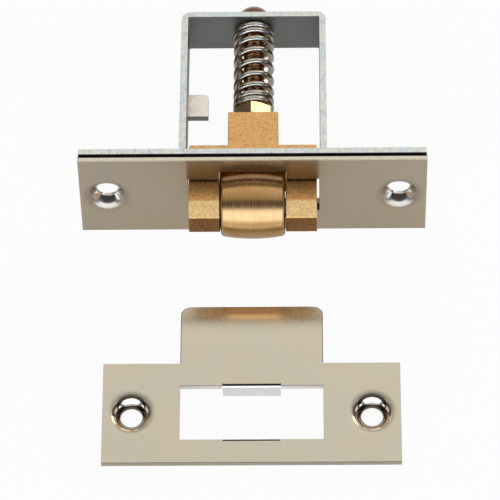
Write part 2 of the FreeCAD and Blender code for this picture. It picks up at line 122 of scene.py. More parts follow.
def stretched(tree, point, scale):
    """The same point with each axis multiplied, for grain that runs one way."""
    step = tree.nodes.new("ShaderNodeVectorMath")
    step.operation = "MULTIPLY"
    tree.links.new(point, step.inputs[0])
    step.inputs[1].default_value = scale
    return step.outputs[0]


def noise(tree, point, scale, detail=3.0, roughness=0.55):
    """A cloudy pattern, with scale in patches for each millimetre."""
    step = tree.nodes.new("ShaderNodeTexNoise")
    tree.links.new(point, step.inputs["Vector"])
    step.inputs["Scale"].default_value = scale
    step.inputs["Detail"].default_value = detail
    step.inputs["Roughness"].default_value = roughness
    return step.outputs["Fac"]


def spread(tree, value, low, high, from_low=0.3, from_high=0.7):
    """Maps a pattern onto a range."""
    step = tree.nodes.new("ShaderNodeMapRange")
    tree.links.new(value, step.inputs["Value"])
    step.inputs["From Min"].default_value = from_low
    step.inputs["From Max"].default_value = from_high
    step.inputs["To Min"].default_value = low
    step.inputs["To Max"].default_value = high
    return step.outputs["Result"]


def tint(tree, amount, first, second):
    """Blends two colours by a pattern."""
    step = tree.nodes.new("ShaderNodeMix")
    step.data_type = "RGBA"
    tree.links.new(amount, step.inputs["Factor"])
    for name, colour in (("A", first), ("B", second)):
        socket = [s for s in step.inputs if s.name == name and s.type == "RGBA"][0]
        if isinstance(colour, tuple):
            socket.default_value = (*colour, 1.0)
        else:
            tree.links.new(colour, socket)
    return [s for s in step.outputs if s.type == "RGBA"][0]


def bump(tree, shader, height, depth):
    """Relief of a given depth in millimetres."""
    step = tree.nodes.new("ShaderNodeBump")
    step.inputs["Distance"].default_value = depth * MM
    tree.links.new(height, step.inputs["Height"])
    tree.links.new(step.outputs["Normal"], shader.inputs["Normal"])


def distance_to(tree, point, centre):
    """How far the point is from a fixed one."""
    step = tree.nodes.new("ShaderNodeVectorMath")
    step.operation = "DISTANCE"
    tree.links.new(point, step.inputs[0])
    step.inputs[1].default_value = centre
    return step.outputs["Value"]


def axis_value(tree, point, axis):
    """The point's place along one axis."""
    step = tree.nodes.new("ShaderNodeSeparateXYZ")
    tree.links.new(point, step.inputs[0])
    return step.outputs[axis]


def number_mix(tree, amount, first, second):
    """Blends two numbers, or patterns, by a pattern."""
    step = tree.nodes.new("ShaderNodeMix")
    tree.links.new(amount, step.inputs["Factor"])
    for name, value in (("A", first), ("B", second)):
        socket = [s for s in step.inputs if s.name == name and s.type == "VALUE"][0]
        if isinstance(value, float):
            socket.default_value = value
        else:
            tree.links.new(value, socket)
    return [s for s in step.outputs if s.type == "VALUE"][0]


def shaded(colour, factor):
    return tuple(c * factor for c in colour)


def past(tree, value, place, soft):
    """A mask that is 0 up to a place and 1 from a little past it."""
    return spread(tree, value, 0.0, 1.0, place, place + soft)


def within(tree, value, place, soft):
    """A mask that is 1 up to a place and 0 from a little past it."""
    return spread(tree, value, 1.0, 0.0, place, place + soft)


def times(tree, first, second):
    """Two masks where both hold, or any two numbers multiplied."""
    return math_node(tree, "MULTIPLY", first, second)


def to_the_side(tree, point, axis="X"):
    """How far the point is from the middle, to either side."""
    return math_node(tree, "ABSOLUTE", axis_value(tree, point, axis))


def nickel_plate(name, colour, base, turn):
    """Nickel plate over a blasted sheet: a fine grain, and a colour that clouds a little."""
    metal, tree, shader = new_metal(name, colour, 0.32)
    point = piece_point(tree, base, turn)
    grain = noise(tree, point, 7.0, 2.0)
    cloud = noise(tree, point, 0.09, 2.0)
    warm = (colour[0] * 1.04, colour[1], colour[2] * 0.95)
    cool = (colour[0] * 0.97, colour[1], colour[2] * 1.04)
    plated = tint(tree, spread(tree, cloud, 0.0, 1.0, 0.35, 0.65), warm, cool)
    plated = tint(tree, spread(tree, grain, 0.0, 0.35, 0.4, 0.7), plated, shaded(colour, 0.8))
    bump(tree, shader, grain, 0.004)
    return metal, tree, shader, point, plated, spread(tree, grain, 0.24, 0.31)


def near_dimples(tree, point, flat, offset):
    """How far the point is, in the plane of the sheet, from the nearer of its two screw holes."""
    in_plane = stretched(tree, point, flat)
    left = distance_to(tree, in_plane, (-offset, 0.0, 0.0))
    right = distance_to(tree, in_plane, (offset, 0.0, 0.0))
    return math_node(tree, "MINIMUM", left, right)


def dimple_shade(tree, near, plated, colour, end):
    """The plate's colour, dimmed as painted shade in a ring round each dimple."""
    return tint(tree, spread(tree, near, 0.8, 0.0, DIMPLE_SHADE_START, end), plated, shaded(colour, 0.72))


def torn_edge(tree, point, colour):
    """The streaked colour of a sheared edge."""
    torn = noise(tree, stretched(tree, point, (1.3, 2.6, 2.6)), 1.0, 3.0, 0.6)
    return tint(tree, spread(tree, torn, 0.0, 0.4, 0.4, 0.65), colour, shaded(colour, 0.72))


def rub_cups(tree, shader, near, ring, colours, finishes):
    """Ends a plate's material: each pair is for the sheet, and for the cups that the punch rubs smooth; on
    the strike the cups also carry a painted highlight and painted shade.
    """
    pressed = spread(tree, near, 1.0, 0.0, ring[0], ring[1])
    tree.links.new(tint(tree, pressed, *colours), shader.inputs["Base Color"])
    tree.links.new(number_mix(tree, pressed, *finishes), shader.inputs["Roughness"])


def face_satin(name):
    """The face plate: pale sheared edges with painted shade along their back, painted shade on the walls of
    its opening, and a painted brown reflection of the brass ears over them.
    """
    metal, tree, shader, point, plated, satin = nickel_plate(name, SATIN_COLOUR, CATCH_BASE, CATCH_TURN)
    side = to_the_side(tree, point)
    depth = axis_value(tree, point, "Y")
    up = axis_value(tree, point, "Z")
    near = near_dimples(tree, point, (1.0, 0.0, 1.0), SCREW_OFFSET)
    _, ears_end, ears_top = EAR_OPENING
    # painted reflection of the ears: brown from just above the ear opening, fading towards the plate's
    # upper edge, within the opening's width
    ear_reflection = times(
        tree, spread(tree, up, 0.76, 0.38, ears_top, FOREND_WIDTH / 2), past(tree, up, ears_top - 0.4, 0.4),
    )
    ear_reflection = times(tree, ear_reflection, within(tree, side, ears_end - 0.38, 0.5))
    # painted shade in a ring round each dimple
    plated = dimple_shade(tree, near, tint(tree, ear_reflection, plated, EAR_REFLECTION_COLOUR), SATIN_COLOUR, 5.1)
    in_height = within(tree, to_the_side(tree, point, "Z"), ROLLER_OPENING[1] + 0.2, 0.1)
    in_opening = times(tree, within(tree, side, ears_end + 0.22, 0.1), in_height)
    # painted shade on the opening's walls
    edge = tint(tree, in_opening, torn_edge(tree, point, SHEARED_COLOUR), FACE_WALL_SHADE_COLOUR)
    # painted shade: the back of each edge is black along the gap to the backing plate
    gap_shade_line = past(tree, depth, FACE_THICKNESS - 0.32, 0.06)
    gap_shade_line = times(tree, gap_shade_line, within(tree, depth, FACE_THICKNESS + 0.05, 0.05))
    edge = tint(tree, gap_shade_line, edge, GAP_LINE_SHADE_COLOUR)
    sheared = times(tree, past(tree, depth, 0.10, 0.06), past(tree, near, DIMPLE_LAND, 0.1))
    edged = tint(tree, sheared, plated, edge)
    rub_cups(tree, shader, near, FACE_CUP_RUBBED, (edged, FACE_CUP_COLOUR), (satin, 0.12))
    return metal


def join_rings(mesh, first, second):
    """Faces between two closed rings of points."""
    total = len(first)
    for i in range(total):
        following = (i + 1) % total
        mesh.faces.new((first[i], first[following], second[following], second[i]))


def dimple_profile(hole, depth, rim, thickness, start, bend, slope):
    """Half section of a pressed dimple: radius and depth, from the face over the hole's edge to the back.

    depth and rim are how deep the hole's edge lies and how thick it is. start is the radius where the
    sheet begins to bend, bend its outer radius and slope its steepest angle.
    """
    steepest = math.radians(slope)
    bend_steps = 12
    section = []
    for step in range(bend_steps + 1):
        angle = steepest * step / bend_steps
        section.append((start - bend * math.sin(angle), bend * (1 - math.cos(angle))))
    section += [
        (hole + 0.10, depth - 0.10),
        (hole + 0.03, depth),
        (hole, depth + 0.12),
        (hole, depth + rim - 0.15),
        (hole + 0.15, depth + rim),
    ]
    under_bend = bend - thickness
    under_start = start - under_bend * math.sin(steepest)
    start_depth = thickness + under_bend * (1 - math.cos(steepest))
    edge = under_start - (depth + rim - start_depth) / math.tan(steepest)
    section += [(edge - 0.12, depth + rim), (edge + 0.08, depth + rim - 0.10)]
    under_steps = 8
    for step in range(under_steps + 1):
        angle = steepest * (1 - step / under_steps)
        section.append((
            start - under_bend * math.sin(angle),
            thickness + under_bend * (1 - math.cos(angle)),
        ))
    return section


def plain_circle(centre, radius):
    return [
        (
            centre[0] + radius * math.cos(2 * math.pi * step / DIMPLE_STEPS),
            centre[1] + radius * math.sin(2 * math.pi * step / DIMPLE_STEPS),
        )
        for step in range(DIMPLE_STEPS)
    ]


def pressed_sheet(outline, openings, dimples, profile, thickness, joints=()):
    """A flat sheet in its own plane, depth along +w, with dimples and openings.

    joints are the loops' walls that are left open, because a strip grows there: the number of the loop and
    of the point where the wall starts. Returns the mesh being built and the loops of both its faces.
    """
    sheet = bmesh.new()
    loops = [outline] + list(openings) + [plain_circle(centre, DIMPLE_LAND) for centre in dimples]
    sides = []
    for depth in (0.0, thickness):
        rings = []
        edges = []
        for loop in loops:
            ring = [sheet.verts.new((u, v, depth)) for u, v in loop]
            edges += [
                sheet.edges.new((ring[i], ring[(i + 1) % len(ring)])) for i in range(len(ring))
            ]
            rings.append(ring)
        bmesh.ops.triangle_fill(sheet, edges=edges, use_beauty=True, use_dissolve=False)
        sides.append(rings)
    top, under = sides
    for number, loop in enumerate(loops[: 1 + len(openings)]):
        total = len(loop)
        for i in range(total):
            following = (i + 1) % total
            if (number, i) in joints:
                continue
            sheet.faces.new((
                top[number][i], top[number][following],
                under[number][following], under[number][i],
            ))
    for number, centre in enumerate(dimples):
        ring = top[1 + len(openings) + number]
        for radius, depth in profile:
            next_ring = [sheet.verts.new((u, v, depth)) for u, v in plain_circle(centre, radius)]
            join_rings(sheet, ring, next_ring)
            ring = next_ring
        join_rings(sheet, ring, under[1 + len(openings) + number])
    return sheet, top, under


def finish_piece(name, mesh, matrix, material, bevel=0.0):
    """Turns a built mesh into a piece in its place."""
    bmesh.ops.remove_doubles(mesh, verts=mesh.verts, dist=1e-5)
    bmesh.ops.recalc_face_normals(mesh, faces=mesh.faces)
    data = bpy.data.meshes.new(name)
    mesh.to_mesh(data)
    mesh.free()
    return place_piece(name, data, matrix, material, bevel)


def place_piece(name, data, matrix, material, bevel=0.0, segments=3, angle=35.0):
    """Puts a mesh in its place, with smooth shading and edges rounded by a bevel in millimetres."""
    data.transform(matrix)
    if matrix.determinant() < 0:
        data.flip_normals()
    data.materials.clear()
    data.materials.append(material)
    piece = bpy.data.objects.new(name, data)
    bpy.context.scene.collection.objects.link(piece)
    data.shade_smooth()
    if bevel:
        rounding = piece.modifiers.new("edges", "BEVEL")
        rounding.width = bevel * MM
        rounding.segments = segments
        rounding.limit_method = "ANGLE"
        rounding.angle_limit = math.radians(angle)
        weighting = piece.modifiers.new("shading", "WEIGHTED_NORMAL")
        weighting.keep_sharp = True
    else:
        data.set_sharp_from_angle(angle=math.radians(angle))
    return piece


def rectangle(half_length, half_width):
    return [
        (-half_length, -half_width), (half_length, -half_width),
        (half_length, half_width), (-half_length, half_width),
    ]


def cross(wide, tall):
    """An opening with two arms: wide gives its left and right ends and half its height."""
    left, right, half = wide
    return [
        (left, -half), (-tall[0], -half), (-tall[0], -tall[1]), (tall[0], -tall[1]),
        (tall[0], -half), (right, -half), (right, half), (tall[0], half),
        (tall[0], tall[1]), (-tall[0], tall[1]), (-tall[0], half), (left, half),
    ]


# the sheet is drawn along X and Z and its depth runs along Y
UPRIGHT = CATCH @ Matrix(((1, 0, 0, 0), (0, 0, 1, 0), (0, 1, 0, 0), (0, 0, 0, 1)))
SCREW_CENTRES = [(-SCREW_OFFSET, 0.0), (SCREW_OFFSET, 0.0)]
face_nickel = face_satin("face_nickel")
face_mesh, _, _ = pressed_sheet(
    rectangle(FOREND_LENGTH / 2, FOREND_WIDTH / 2), [cross(EAR_OPENING, ROLLER_OPENING)],
    SCREW_CENTRES, dimple_profile(**FACE_DIMPLE), FACE_THICKNESS,
)
face_plate = finish_piece("face_plate_pressed", face_mesh, UPRIGHT, face_nickel, 0.2)
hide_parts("face_plate")
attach(face_plate, "case")

# Backing plate
# Zinc-plated steel sheet behind the face plate, sheared a tenth smaller all round. Its two holes take
# the dimples, which keep the sheets half a millimetre apart, and its opening grips the case's legs.
BACKING_FRONT = 1.7
BACKING_THICKNESS = 1.6
BACKING_INSET = 0.1
DIMPLE_PASSAGE = 4.2
CASE_HALF_WIDTH = 15.0
STRIP_HALF_WIDTH = 5.0
ZINC_COLOUR = (0.77, 0.783, 0.74)
# painted shade on the faces inside the case
INSIDE_SHADE_COLOUR = (0.27, 0.27, 0.253)
LINE_COLOUR = (0.26, 0.28, 0.27)
# painted shade: black on the edges that lie in narrow gaps
PLATE_GAP_SHADE_COLOUR = (0.03, 0.03, 0.03)
# painted light on the tab inside the case
TAB_LIGHT_COLOUR = (0.94, 0.85, 0.73)
TAB_TOP = -3.5


def bright_zinc(name, grain_scale, gap_end, inside=None):
    """Bright zinc plate: cool, a little cloudy, with the fine lines that shearing leaves on an edge.

    Up to gap_end the metal is painted black, as shade in the narrow gaps it lies in. inside gives a space
    that is duller than the outside and darkened as painted shade: its half width, its rear end, and the
    front and rear of the tab in it, which is lit by painted light.
    """
    metal, tree, shader = new_metal(name, ZINC_COLOUR, 0.3)
    point = piece_point(tree, CATCH_BASE, CATCH_TURN)
    cloud = noise(tree, point, 0.5, 3.0)
    lines = noise(tree, stretched(tree, point, grain_scale), 1.0, 3.0, 0.6)
    cool = (ZINC_COLOUR[0] * 0.93, ZINC_COLOUR[1], ZINC_COLOUR[2] * 1.04)
    warm = (ZINC_COLOUR[0] * 1.06, ZINC_COLOUR[1] * 1.03, ZINC_COLOUR[2] * 0.97)
    base = tint(tree, spread(tree, cloud, 0.0, 1.0, 0.35, 0.65), cool, warm)
    zinc_and_painted_light = tint(tree, spread(tree, lines, 0.0, 0.4, 0.45, 0.8), base, LINE_COLOUR)
    along = axis_value(tree, point, "Y")
    finish = spread(tree, lines, 0.24, 0.42)
    if inside:
        half, rear, tab_front, tab_back = inside
        between = times(
            tree, within(tree, to_the_side(tree, point), half, 0.06), within(tree, along, rear, 0.06)
        )
        off_tab = math_node(
            tree, "MAXIMUM", within(tree, along, tab_front + 0.03, 0.06), past(tree, along, tab_back, 0.1),
        )
        above = past(tree, axis_value(tree, point, "Z"), TAB_TOP, 0.1)
        # painted shade on the faces inside the case, except on the tab
        wall = times(tree, between, math_node(tree, "MAXIMUM", off_tab, above))
        # painted light: the tab is brightened
        painted_tab_light = math_node(tree, "SUBTRACT", between, wall)
        zinc_and_painted_light = tint(tree, painted_tab_light, tint(tree, wall, zinc_and_painted_light, INSIDE_SHADE_COLOUR), TAB_LIGHT_COLOUR)
        finish = number_mix(tree, wall, finish, 0.42)
    # painted shade: black up to gap_end, in the narrow gaps between the sheets
    zinc_and_painted_light = tint(tree, within(tree, along, gap_end - 0.05, 0.05), zinc_and_painted_light, PLATE_GAP_SHADE_COLOUR)
    tree.links.new(zinc_and_painted_light, shader.inputs["Base Color"])
    tree.links.new(finish, shader.inputs["Roughness"])
    bump(tree, shader, lines, 0.012)
    return metal


backing_zinc = bright_zinc("backing_zinc", (1.7, 0.8, 0.8), BACKING_FRONT + 0.27)
back_mesh, _, _ = pressed_sheet(
    rectangle(FOREND_LENGTH / 2 - BACKING_INSET, FOREND_WIDTH / 2 - BACKING_INSET),
    [cross((-CASE_HALF_WIDTH, CASE_HALF_WIDTH, STRIP_HALF_WIDTH), ROLLER_OPENING)]
    + [plain_circle(centre, DIMPLE_PASSAGE) for centre in SCREW_CENTRES],
    [], [], BACKING_THICKNESS,
)
back_plate = finish_piece(
    "backing_plate_sheared", back_mesh,
    UPRIGHT @ Matrix.Translation((0, 0, BACKING_FRONT)), backing_zinc, 0.10,
)
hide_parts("back_plate")
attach(back_plate, "case")

# Case frame
# One strip of zinc-plated steel bent into two legs and a bridge, drilled in the bridge for the screw.
# A small stop tab is folded in from the lower edge of the left leg.
CASE_DEPTH = 45.4
STRIP_THICKNESS = 1.4
CASE_CORNER = 2.0
CASE_INNER_CORNER = 0.35
GUIDE_RADIUS = 2.4
TAB_START = 24.0
TAB_LENGTH = 6.0
TAB_REACH = 4.2
TAB_CORNER = 1.0
CORNER_STEPS = 8
INNER_STEPS = 4


def arc_points(centre, radius, first, last, steps):
    """Points on an arc between two angles in degrees."""
    return [
        (
            centre[0] + radius * math.cos(math.radians(first + (last - first) * step / steps)),
            centre[1] + radius * math.sin(math.radians(first + (last - first) * step / steps)),
        )
        for step in range(steps + 1)
    ]


def extruded(outline, low, high):
    """A prism over an outline drawn in X and Y."""
    prism = bmesh.new()
    rings = [[prism.verts.new((x, y, z)) for x, y in outline] for z in (low, high)]
    prism.faces.new(rings[0])
    prism.faces.new(rings[1])
    join_rings(prism, rings[0], rings[1])
    bmesh.ops.recalc_face_normals(prism, faces=prism.faces)
    return prism


def axis_point(axis, along, first, second):
    return (along, first, second) if axis == "X" else (first, along, second)


def turned_round(section, steps, axis):
    """A turned solid: section is along the axis and out from it, and closes on itself or on the axis."""
    body = bmesh.new()
    rings = []
    for along, radius in section:
        if radius < 1e-6:
            rings.append([body.verts.new(axis_point(axis, along, 0.0, 0.0))])
            continue
        rings.append([
            body.verts.new(axis_point(
                axis, along,
                radius * math.cos(2 * math.pi * step / steps),
                radius * math.sin(2 * math.pi * step / steps),
            ))
            for step in range(steps)
        ])
    for first, second in zip(rings, rings[1:] + rings[:1]):
        if len(first) == 1 and len(second) == 1:
            continue
        if len(first) == 1 or len(second) == 1:
            ring = second if len(first) == 1 else first
            tip = first[0] if len(first) == 1 else second[0]
            for i in range(steps):
                body.faces.new((tip, ring[i], ring[(i + 1) % steps]))
        else:
            join_rings(body, first, second)
    bmesh.ops.recalc_face_normals(body, faces=body.faces)
    return body


def as_object(name, mesh):
    data = bpy.data.meshes.new(name)
    mesh.to_mesh(data)
    mesh.free()
    solid = bpy.data.objects.new(name, data)
    bpy.context.scene.collection.objects.link(solid)
    return solid


def plain_mesh(body, *steps):
    """The mesh of a body with its modifiers and the given boolean steps, each a kind and a tool."""
    for kind, tool in steps:
        cut = body.modifiers.new("step", "BOOLEAN")
        cut.operation = kind
        cut.object = tool
        cut.solver = "EXACT"
    bpy.context.view_layer.update()
    evaluated = body.evaluated_get(bpy.context.evaluated_depsgraph_get())
    data = bpy.data.meshes.new_from_object(evaluated)
    for solid in [body] + [tool for _, tool in steps]:
        bpy.data.objects.remove(solid)
    return data


inner = CASE_HALF_WIDTH - STRIP_THICKNESS
bridge_front = CASE_DEPTH - STRIP_THICKNESS
bend_across = CASE_HALF_WIDTH - CASE_CORNER
bend_along = CASE_DEPTH - CASE_CORNER
nook_across = inner - CASE_INNER_CORNER
nook_along = bridge_front - CASE_INNER_CORNER
frame_outline = (
    [(inner, BACKING_FRONT), (CASE_HALF_WIDTH, BACKING_FRONT)]
    + arc_points((bend_across, bend_along), CASE_CORNER, 0, 90, CORNER_STEPS)
    + arc_points((-bend_across, bend_along), CASE_CORNER, 90, 180, CORNER_STEPS)
    + [(-CASE_HALF_WIDTH, BACKING_FRONT), (-inner, BACKING_FRONT)]
    + arc_points((-nook_across, nook_along), CASE_INNER_CORNER, 180, 90, INNER_STEPS)
    + arc_points((nook_across, nook_along), CASE_INNER_CORNER, 90, 0, INNER_STEPS)
)
frame_body = as_object("frame_body", extruded(frame_outline, -STRIP_HALF_WIDTH, STRIP_HALF_WIDTH))


def drill(name, radius, first, last, axis, steps=48):
    """A plain cylinder to cut a hole with, from one place along an axis to another."""
    section = [(first, 0), (first, radius), (last, radius), (last, 0)]
    return as_object(name, turned_round(section, steps, axis))


guide_drill = drill("guide_drill", GUIDE_RADIUS, CASE_DEPTH - 3, CASE_DEPTH + 2, "Y")
tab_end = -inner + TAB_REACH
tab_rear = TAB_START + TAB_LENGTH
tab_in_leg = -inner - STRIP_THICKNESS / 2
tab_outline = (
    [(tab_in_leg, TAB_START), (tab_end, TAB_START)]
    + arc_points((tab_end - TAB_CORNER, tab_rear - TAB_CORNER), TAB_CORNER, 0, 90, 6)
    + [(tab_in_leg, tab_rear)]
)
tab_body = as_object("tab_body", extruded(
    tab_outline, -STRIP_HALF_WIDTH, -STRIP_HALF_WIDTH + STRIP_THICKNESS
))
frame_data = plain_mesh(frame_body, ("DIFFERENCE", guide_drill), ("UNION", tab_body))
case_zinc = bright_zinc(
    "case_zinc", (1.3, 0.6, 0.6), BACKING_FRONT + BACKING_THICKNESS + 0.1,
    (inner + 0.02, bridge_front + 0.02, TAB_START, tab_rear),
)
case_frame = place_piece("case_frame_bent", frame_data, CATCH, case_zinc, 0.10)
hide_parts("case_frame")
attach(case_frame, "case")

# Roller carrier
# A block cut from extruded brass bar, with a chamfered nose, slotted for the roller and drilled for
# its pin. Behind the case's opening it narrows to a tail that is tapped for the adjusting screw.
CARRIER_HALF_WIDTH = 12.9
CARRIER_HALF_HEIGHT = 4.55
CARRIER_REACH = 7.7
CARRIER_REAR = 9.5
CHAMFER_DEPTH = 2.7
CHAMFER_HEIGHT = 2.35
CHAMFER_END = CHAMFER_DEPTH - CARRIER_REACH
TAIL_HALF_WIDTH = 5.1
TAIL_REAR = 18.3
SLOT_HALF_WIDTH = 6.6
SLOT_BOTTOM = 4.6
ROLLER_AXIS = -2.8
PIN_RADIUS = 1.5
ROD_RADIUS = 2.15
SKIN_COLOUR = (1.0, 0.55, 0.19)
TAIL_COLOUR = (0.81, 0.45, 0.162)
FLECK_COLOUR = (0.95, 0.70, 0.36)
PIT_COLOUR = (0.26, 0.125, 0.042)
MILLED_COLOUR = (1.0, 0.615, 0.23)
# painted shade: the nose is darkened
NOSE_SHADE_COLOUR = (0.35, 0.168, 0.055)
# painted shade: near black in the roller's slot and on the roller's ends, in the narrow gaps between them
SLOT_SHADE_COLOUR = (0.06, 0.03, 0.015)


def sawn_brass(name):
    """Extruded brass: a coarse brown skin, lighter milled chamfers, a nose darkened as painted shade, and
    the slot painted near black as shade.
    """
    metal, tree, shader = new_metal(name, SKIN_COLOUR, 0.34)
    point = piece_point(tree, CATCH_BASE, CATCH_TURN)
    speckle = noise(tree, stretched(tree, point, (1.3, 1.0, 1.0)), 2.3, 3.0, 0.65)
    cloud = noise(tree, point, 0.35, 2.0)
    depth = axis_value(tree, point, "Y")
    skin = tint(tree, past(tree, depth, 0.0, 2.0), SKIN_COLOUR, TAIL_COLOUR)
    skin = tint(tree, spread(tree, cloud, 0.0, 0.4, 0.35, 0.65), skin, shaded(SKIN_COLOUR, 0.85))
    flecked = tint(tree, spread(tree, speckle, 0.0, 0.5, 0.52, 0.74), skin, FLECK_COLOUR)
    pitted = tint(tree, spread(tree, speckle, 0.62, 0.0, 0.30, 0.48), flecked, PIT_COLOUR)
    cutter = spread(tree, speckle, 0.0, 1.0, 0.38, 0.62)
    milled = tint(tree, cutter, shaded(MILLED_COLOUR, 0.76), MILLED_COLOUR)
    # painted shade darkens the nose
    nosed = tint(tree, cutter, shaded(NOSE_SHADE_COLOUR, 0.7), shaded(NOSE_SHADE_COLOUR, 1.15))
    front = within(tree, depth, CHAMFER_END - 0.05, 0.1)
    end = within(tree, depth, -CARRIER_REACH + 0.02, 0.08)
    base = tint(tree, end, tint(tree, front, pitted, milled), nosed)
    # painted shade in the slot round the roller
    in_slot = times(
        tree, within(tree, to_the_side(tree, point), SLOT_HALF_WIDTH + 0.02, 0.08),
        within(tree, depth, SLOT_BOTTOM - 0.2, 0.2),
    )
    tree.links.new(tint(tree, in_slot, base, SLOT_SHADE_COLOUR), shader.inputs["Base Color"])
    satin = number_mix(tree, front, spread(tree, speckle, 0.28, 0.42), 0.49)
    tree.links.new(number_mix(tree, end, satin, 0.34), shader.inputs["Roughness"])
    bump(tree, shader, speckle, 0.06)
    return metal


nose_half = CARRIER_HALF_HEIGHT - CHAMFER_HEIGHT
carrier_section = [
    (-CARRIER_REACH, -nose_half), (CHAMFER_END, -CARRIER_HALF_HEIGHT),
    (CARRIER_REAR, -CARRIER_HALF_HEIGHT), (CARRIER_REAR, CARRIER_HALF_HEIGHT),
    (CHAMFER_END, CARRIER_HALF_HEIGHT), (-CARRIER_REACH, nose_half),
]
block = extruded(carrier_section, -CARRIER_HALF_WIDTH, CARRIER_HALF_WIDTH)
block.transform(Matrix(((0, 0, 1, 0), (1, 0, 0, 0), (0, 1, 0, 0), (0, 0, 0, 1))))
carrier_block = as_object("carrier_block", block)


def bar(name, half_width, front, rear, half_height):
    """A rectangular bar along the depth axis."""
    outline = [(-half_width, front), (half_width, front), (half_width, rear), (-half_width, rear)]
    return as_object(name, extruded(outline, -half_height, half_height))


tail = bar("tail", TAIL_HALF_WIDTH, CARRIER_REAR - 1, TAIL_REAR, CARRIER_HALF_HEIGHT)
slot = bar("slot", SLOT_HALF_WIDTH, -CARRIER_REACH - 1, SLOT_BOTTOM, CARRIER_HALF_HEIGHT + 1)
tapping = drill("tapping", ROD_RADIUS, TAIL_REAR - 7, TAIL_REAR + 1, "Y")
pin_drill = drill("pin_drill", PIN_RADIUS, -CARRIER_HALF_WIDTH - 1.1, CARRIER_HALF_WIDTH + 1.1, "X", 40)
pin_drill.data.transform(Matrix.Translation((0, ROLLER_AXIS, 0)))
carrier_data = plain_mesh(
    carrier_block, ("UNION", tail), ("DIFFERENCE", slot), ("DIFFERENCE", tapping),
    ("DIFFERENCE", pin_drill),
)
carrier_brass = sawn_brass("carrier_brass")
roller_carrier = place_piece("roller_carrier_sawn", carrier_data, CATCH, carrier_brass, 0.16)
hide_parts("roller_carrier")
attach(roller_carrier, "carrier")

# Roller
# Barrel-shaped, turned from brass bar on a lathe, so its fine tool marks run round it.
# It turns freely on the steel pin.
ROLLER_HALF_LENGTH = 6.45
ROLLER_RADIUS = 6.6
ROLLER_END_RADIUS = 6.1
ROLLER_EDGE = 0.7
ROLLER_BORE = 1.55
ROLLER_BORE_EDGE = 0.15
TURNED_COLOUR = (0.59, 0.345, 0.145)
TARNISH = (0.90, 0.82, 0.70)


def turned_brass(name, axis_scale, colour=TURNED_COLOUR, roughness=0.27, beyond=None, ends=None):
    """Lathe-turned brass: fine rings round the axis, and a soft tarnish.

    beyond is a place along the piece and the colour it has from there on. Past ends, to both sides of the
    middle, the piece is painted near black, as shade in the gaps beside it.
    """
    metal, tree, shader = new_metal(name, colour, roughness)
    point = piece_point(tree, CATCH_BASE, CATCH_TURN)
    rings = noise(tree, stretched(tree, point, axis_scale), 1.0, 3.0, 0.6)
    cloud = noise(tree, point, 0.3, 2.0)
    tarnished = tuple(c * k for c, k in zip(colour, TARNISH))
    base = tint(tree, spread(tree, cloud, 0.0, 0.7, 0.4, 0.7), colour, tarnished)
    base = tint(tree, spread(tree, rings, 0.0, 0.35, 0.4, 0.65), base, tarnished)
    mottle_scale = tuple(max(k, 1.0) for k in axis_scale)
    mottle = noise(tree, stretched(tree, point, mottle_scale), 1.6, 3.0, 0.65)
    base = tint(tree, spread(tree, mottle, 0.0, 0.4, 0.45, 0.7), base, shaded(tarnished, 0.62))
    if beyond:
        base = tint(tree, past(tree, axis_value(tree, point, "Y"), beyond[0], 0.05), base, beyond[1])
    # painted shade on the ends, in the gaps beside them
    if ends:
        base = tint(tree, past(tree, to_the_side(tree, point), ends - 0.1, 0.1), base, SLOT_SHADE_COLOUR)
    tree.links.new(base, shader.inputs["Base Color"])
    finish = spread(tree, rings, roughness - 0.04, roughness + 0.06)
    tree.links.new(finish, shader.inputs["Roughness"])
    bump(tree, shader, math_node(tree, "ADD", rings, mottle), 0.004)
    return metal


barrel_half = ROLLER_HALF_LENGTH - ROLLER_EDGE
barrel_rise = ROLLER_RADIUS - ROLLER_END_RADIUS
barrel_arc = (barrel_half ** 2 + barrel_rise ** 2) / (2 * barrel_rise)
edge_centre = ROLLER_END_RADIUS - ROLLER_EDGE
BARREL_STEPS = 20
EDGE_STEPS = 8
roller_section = [
    (-ROLLER_HALF_LENGTH, ROLLER_BORE + ROLLER_BORE_EDGE),
    (-ROLLER_HALF_LENGTH + ROLLER_BORE_EDGE, ROLLER_BORE),
    (ROLLER_HALF_LENGTH - ROLLER_BORE_EDGE, ROLLER_BORE),
    (ROLLER_HALF_LENGTH, ROLLER_BORE + ROLLER_BORE_EDGE),
]
roller_section += arc_points((barrel_half, edge_centre), ROLLER_EDGE, 0, 90, EDGE_STEPS)
for step in range(1, BARREL_STEPS):
    across = barrel_half - 2 * barrel_half * step / BARREL_STEPS
    roller_section.append((across, ROLLER_RADIUS - barrel_arc + math.sqrt(barrel_arc ** 2 - across ** 2)))
roller_section += arc_points((-barrel_half, edge_centre), ROLLER_EDGE, 90, 180, EDGE_STEPS)
roller_mesh = turned_round(roller_section, 128, "X")
roller_brass = turned_brass("roller_brass", (5.0, 0.05, 0.05), ends=ROLLER_HALF_LENGTH - 0.15)
ON_ROLLER_AXIS = CATCH @ Matrix.Translation((0, ROLLER_AXIS, 0))
roller = finish_piece("roller_turned", roller_mesh, ON_ROLLER_AXIS, roller_brass)
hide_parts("roller")
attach(roller, "roller")

# Roller pin
# Ground steel rod, pressed through both ears of the carrier and left just below their faces.
PIN_HALF_LENGTH = 12.75
PIN_CHAMFER = (0.2, 0.25)
STEEL_COLOUR = (0.50, 0.49, 0.46)


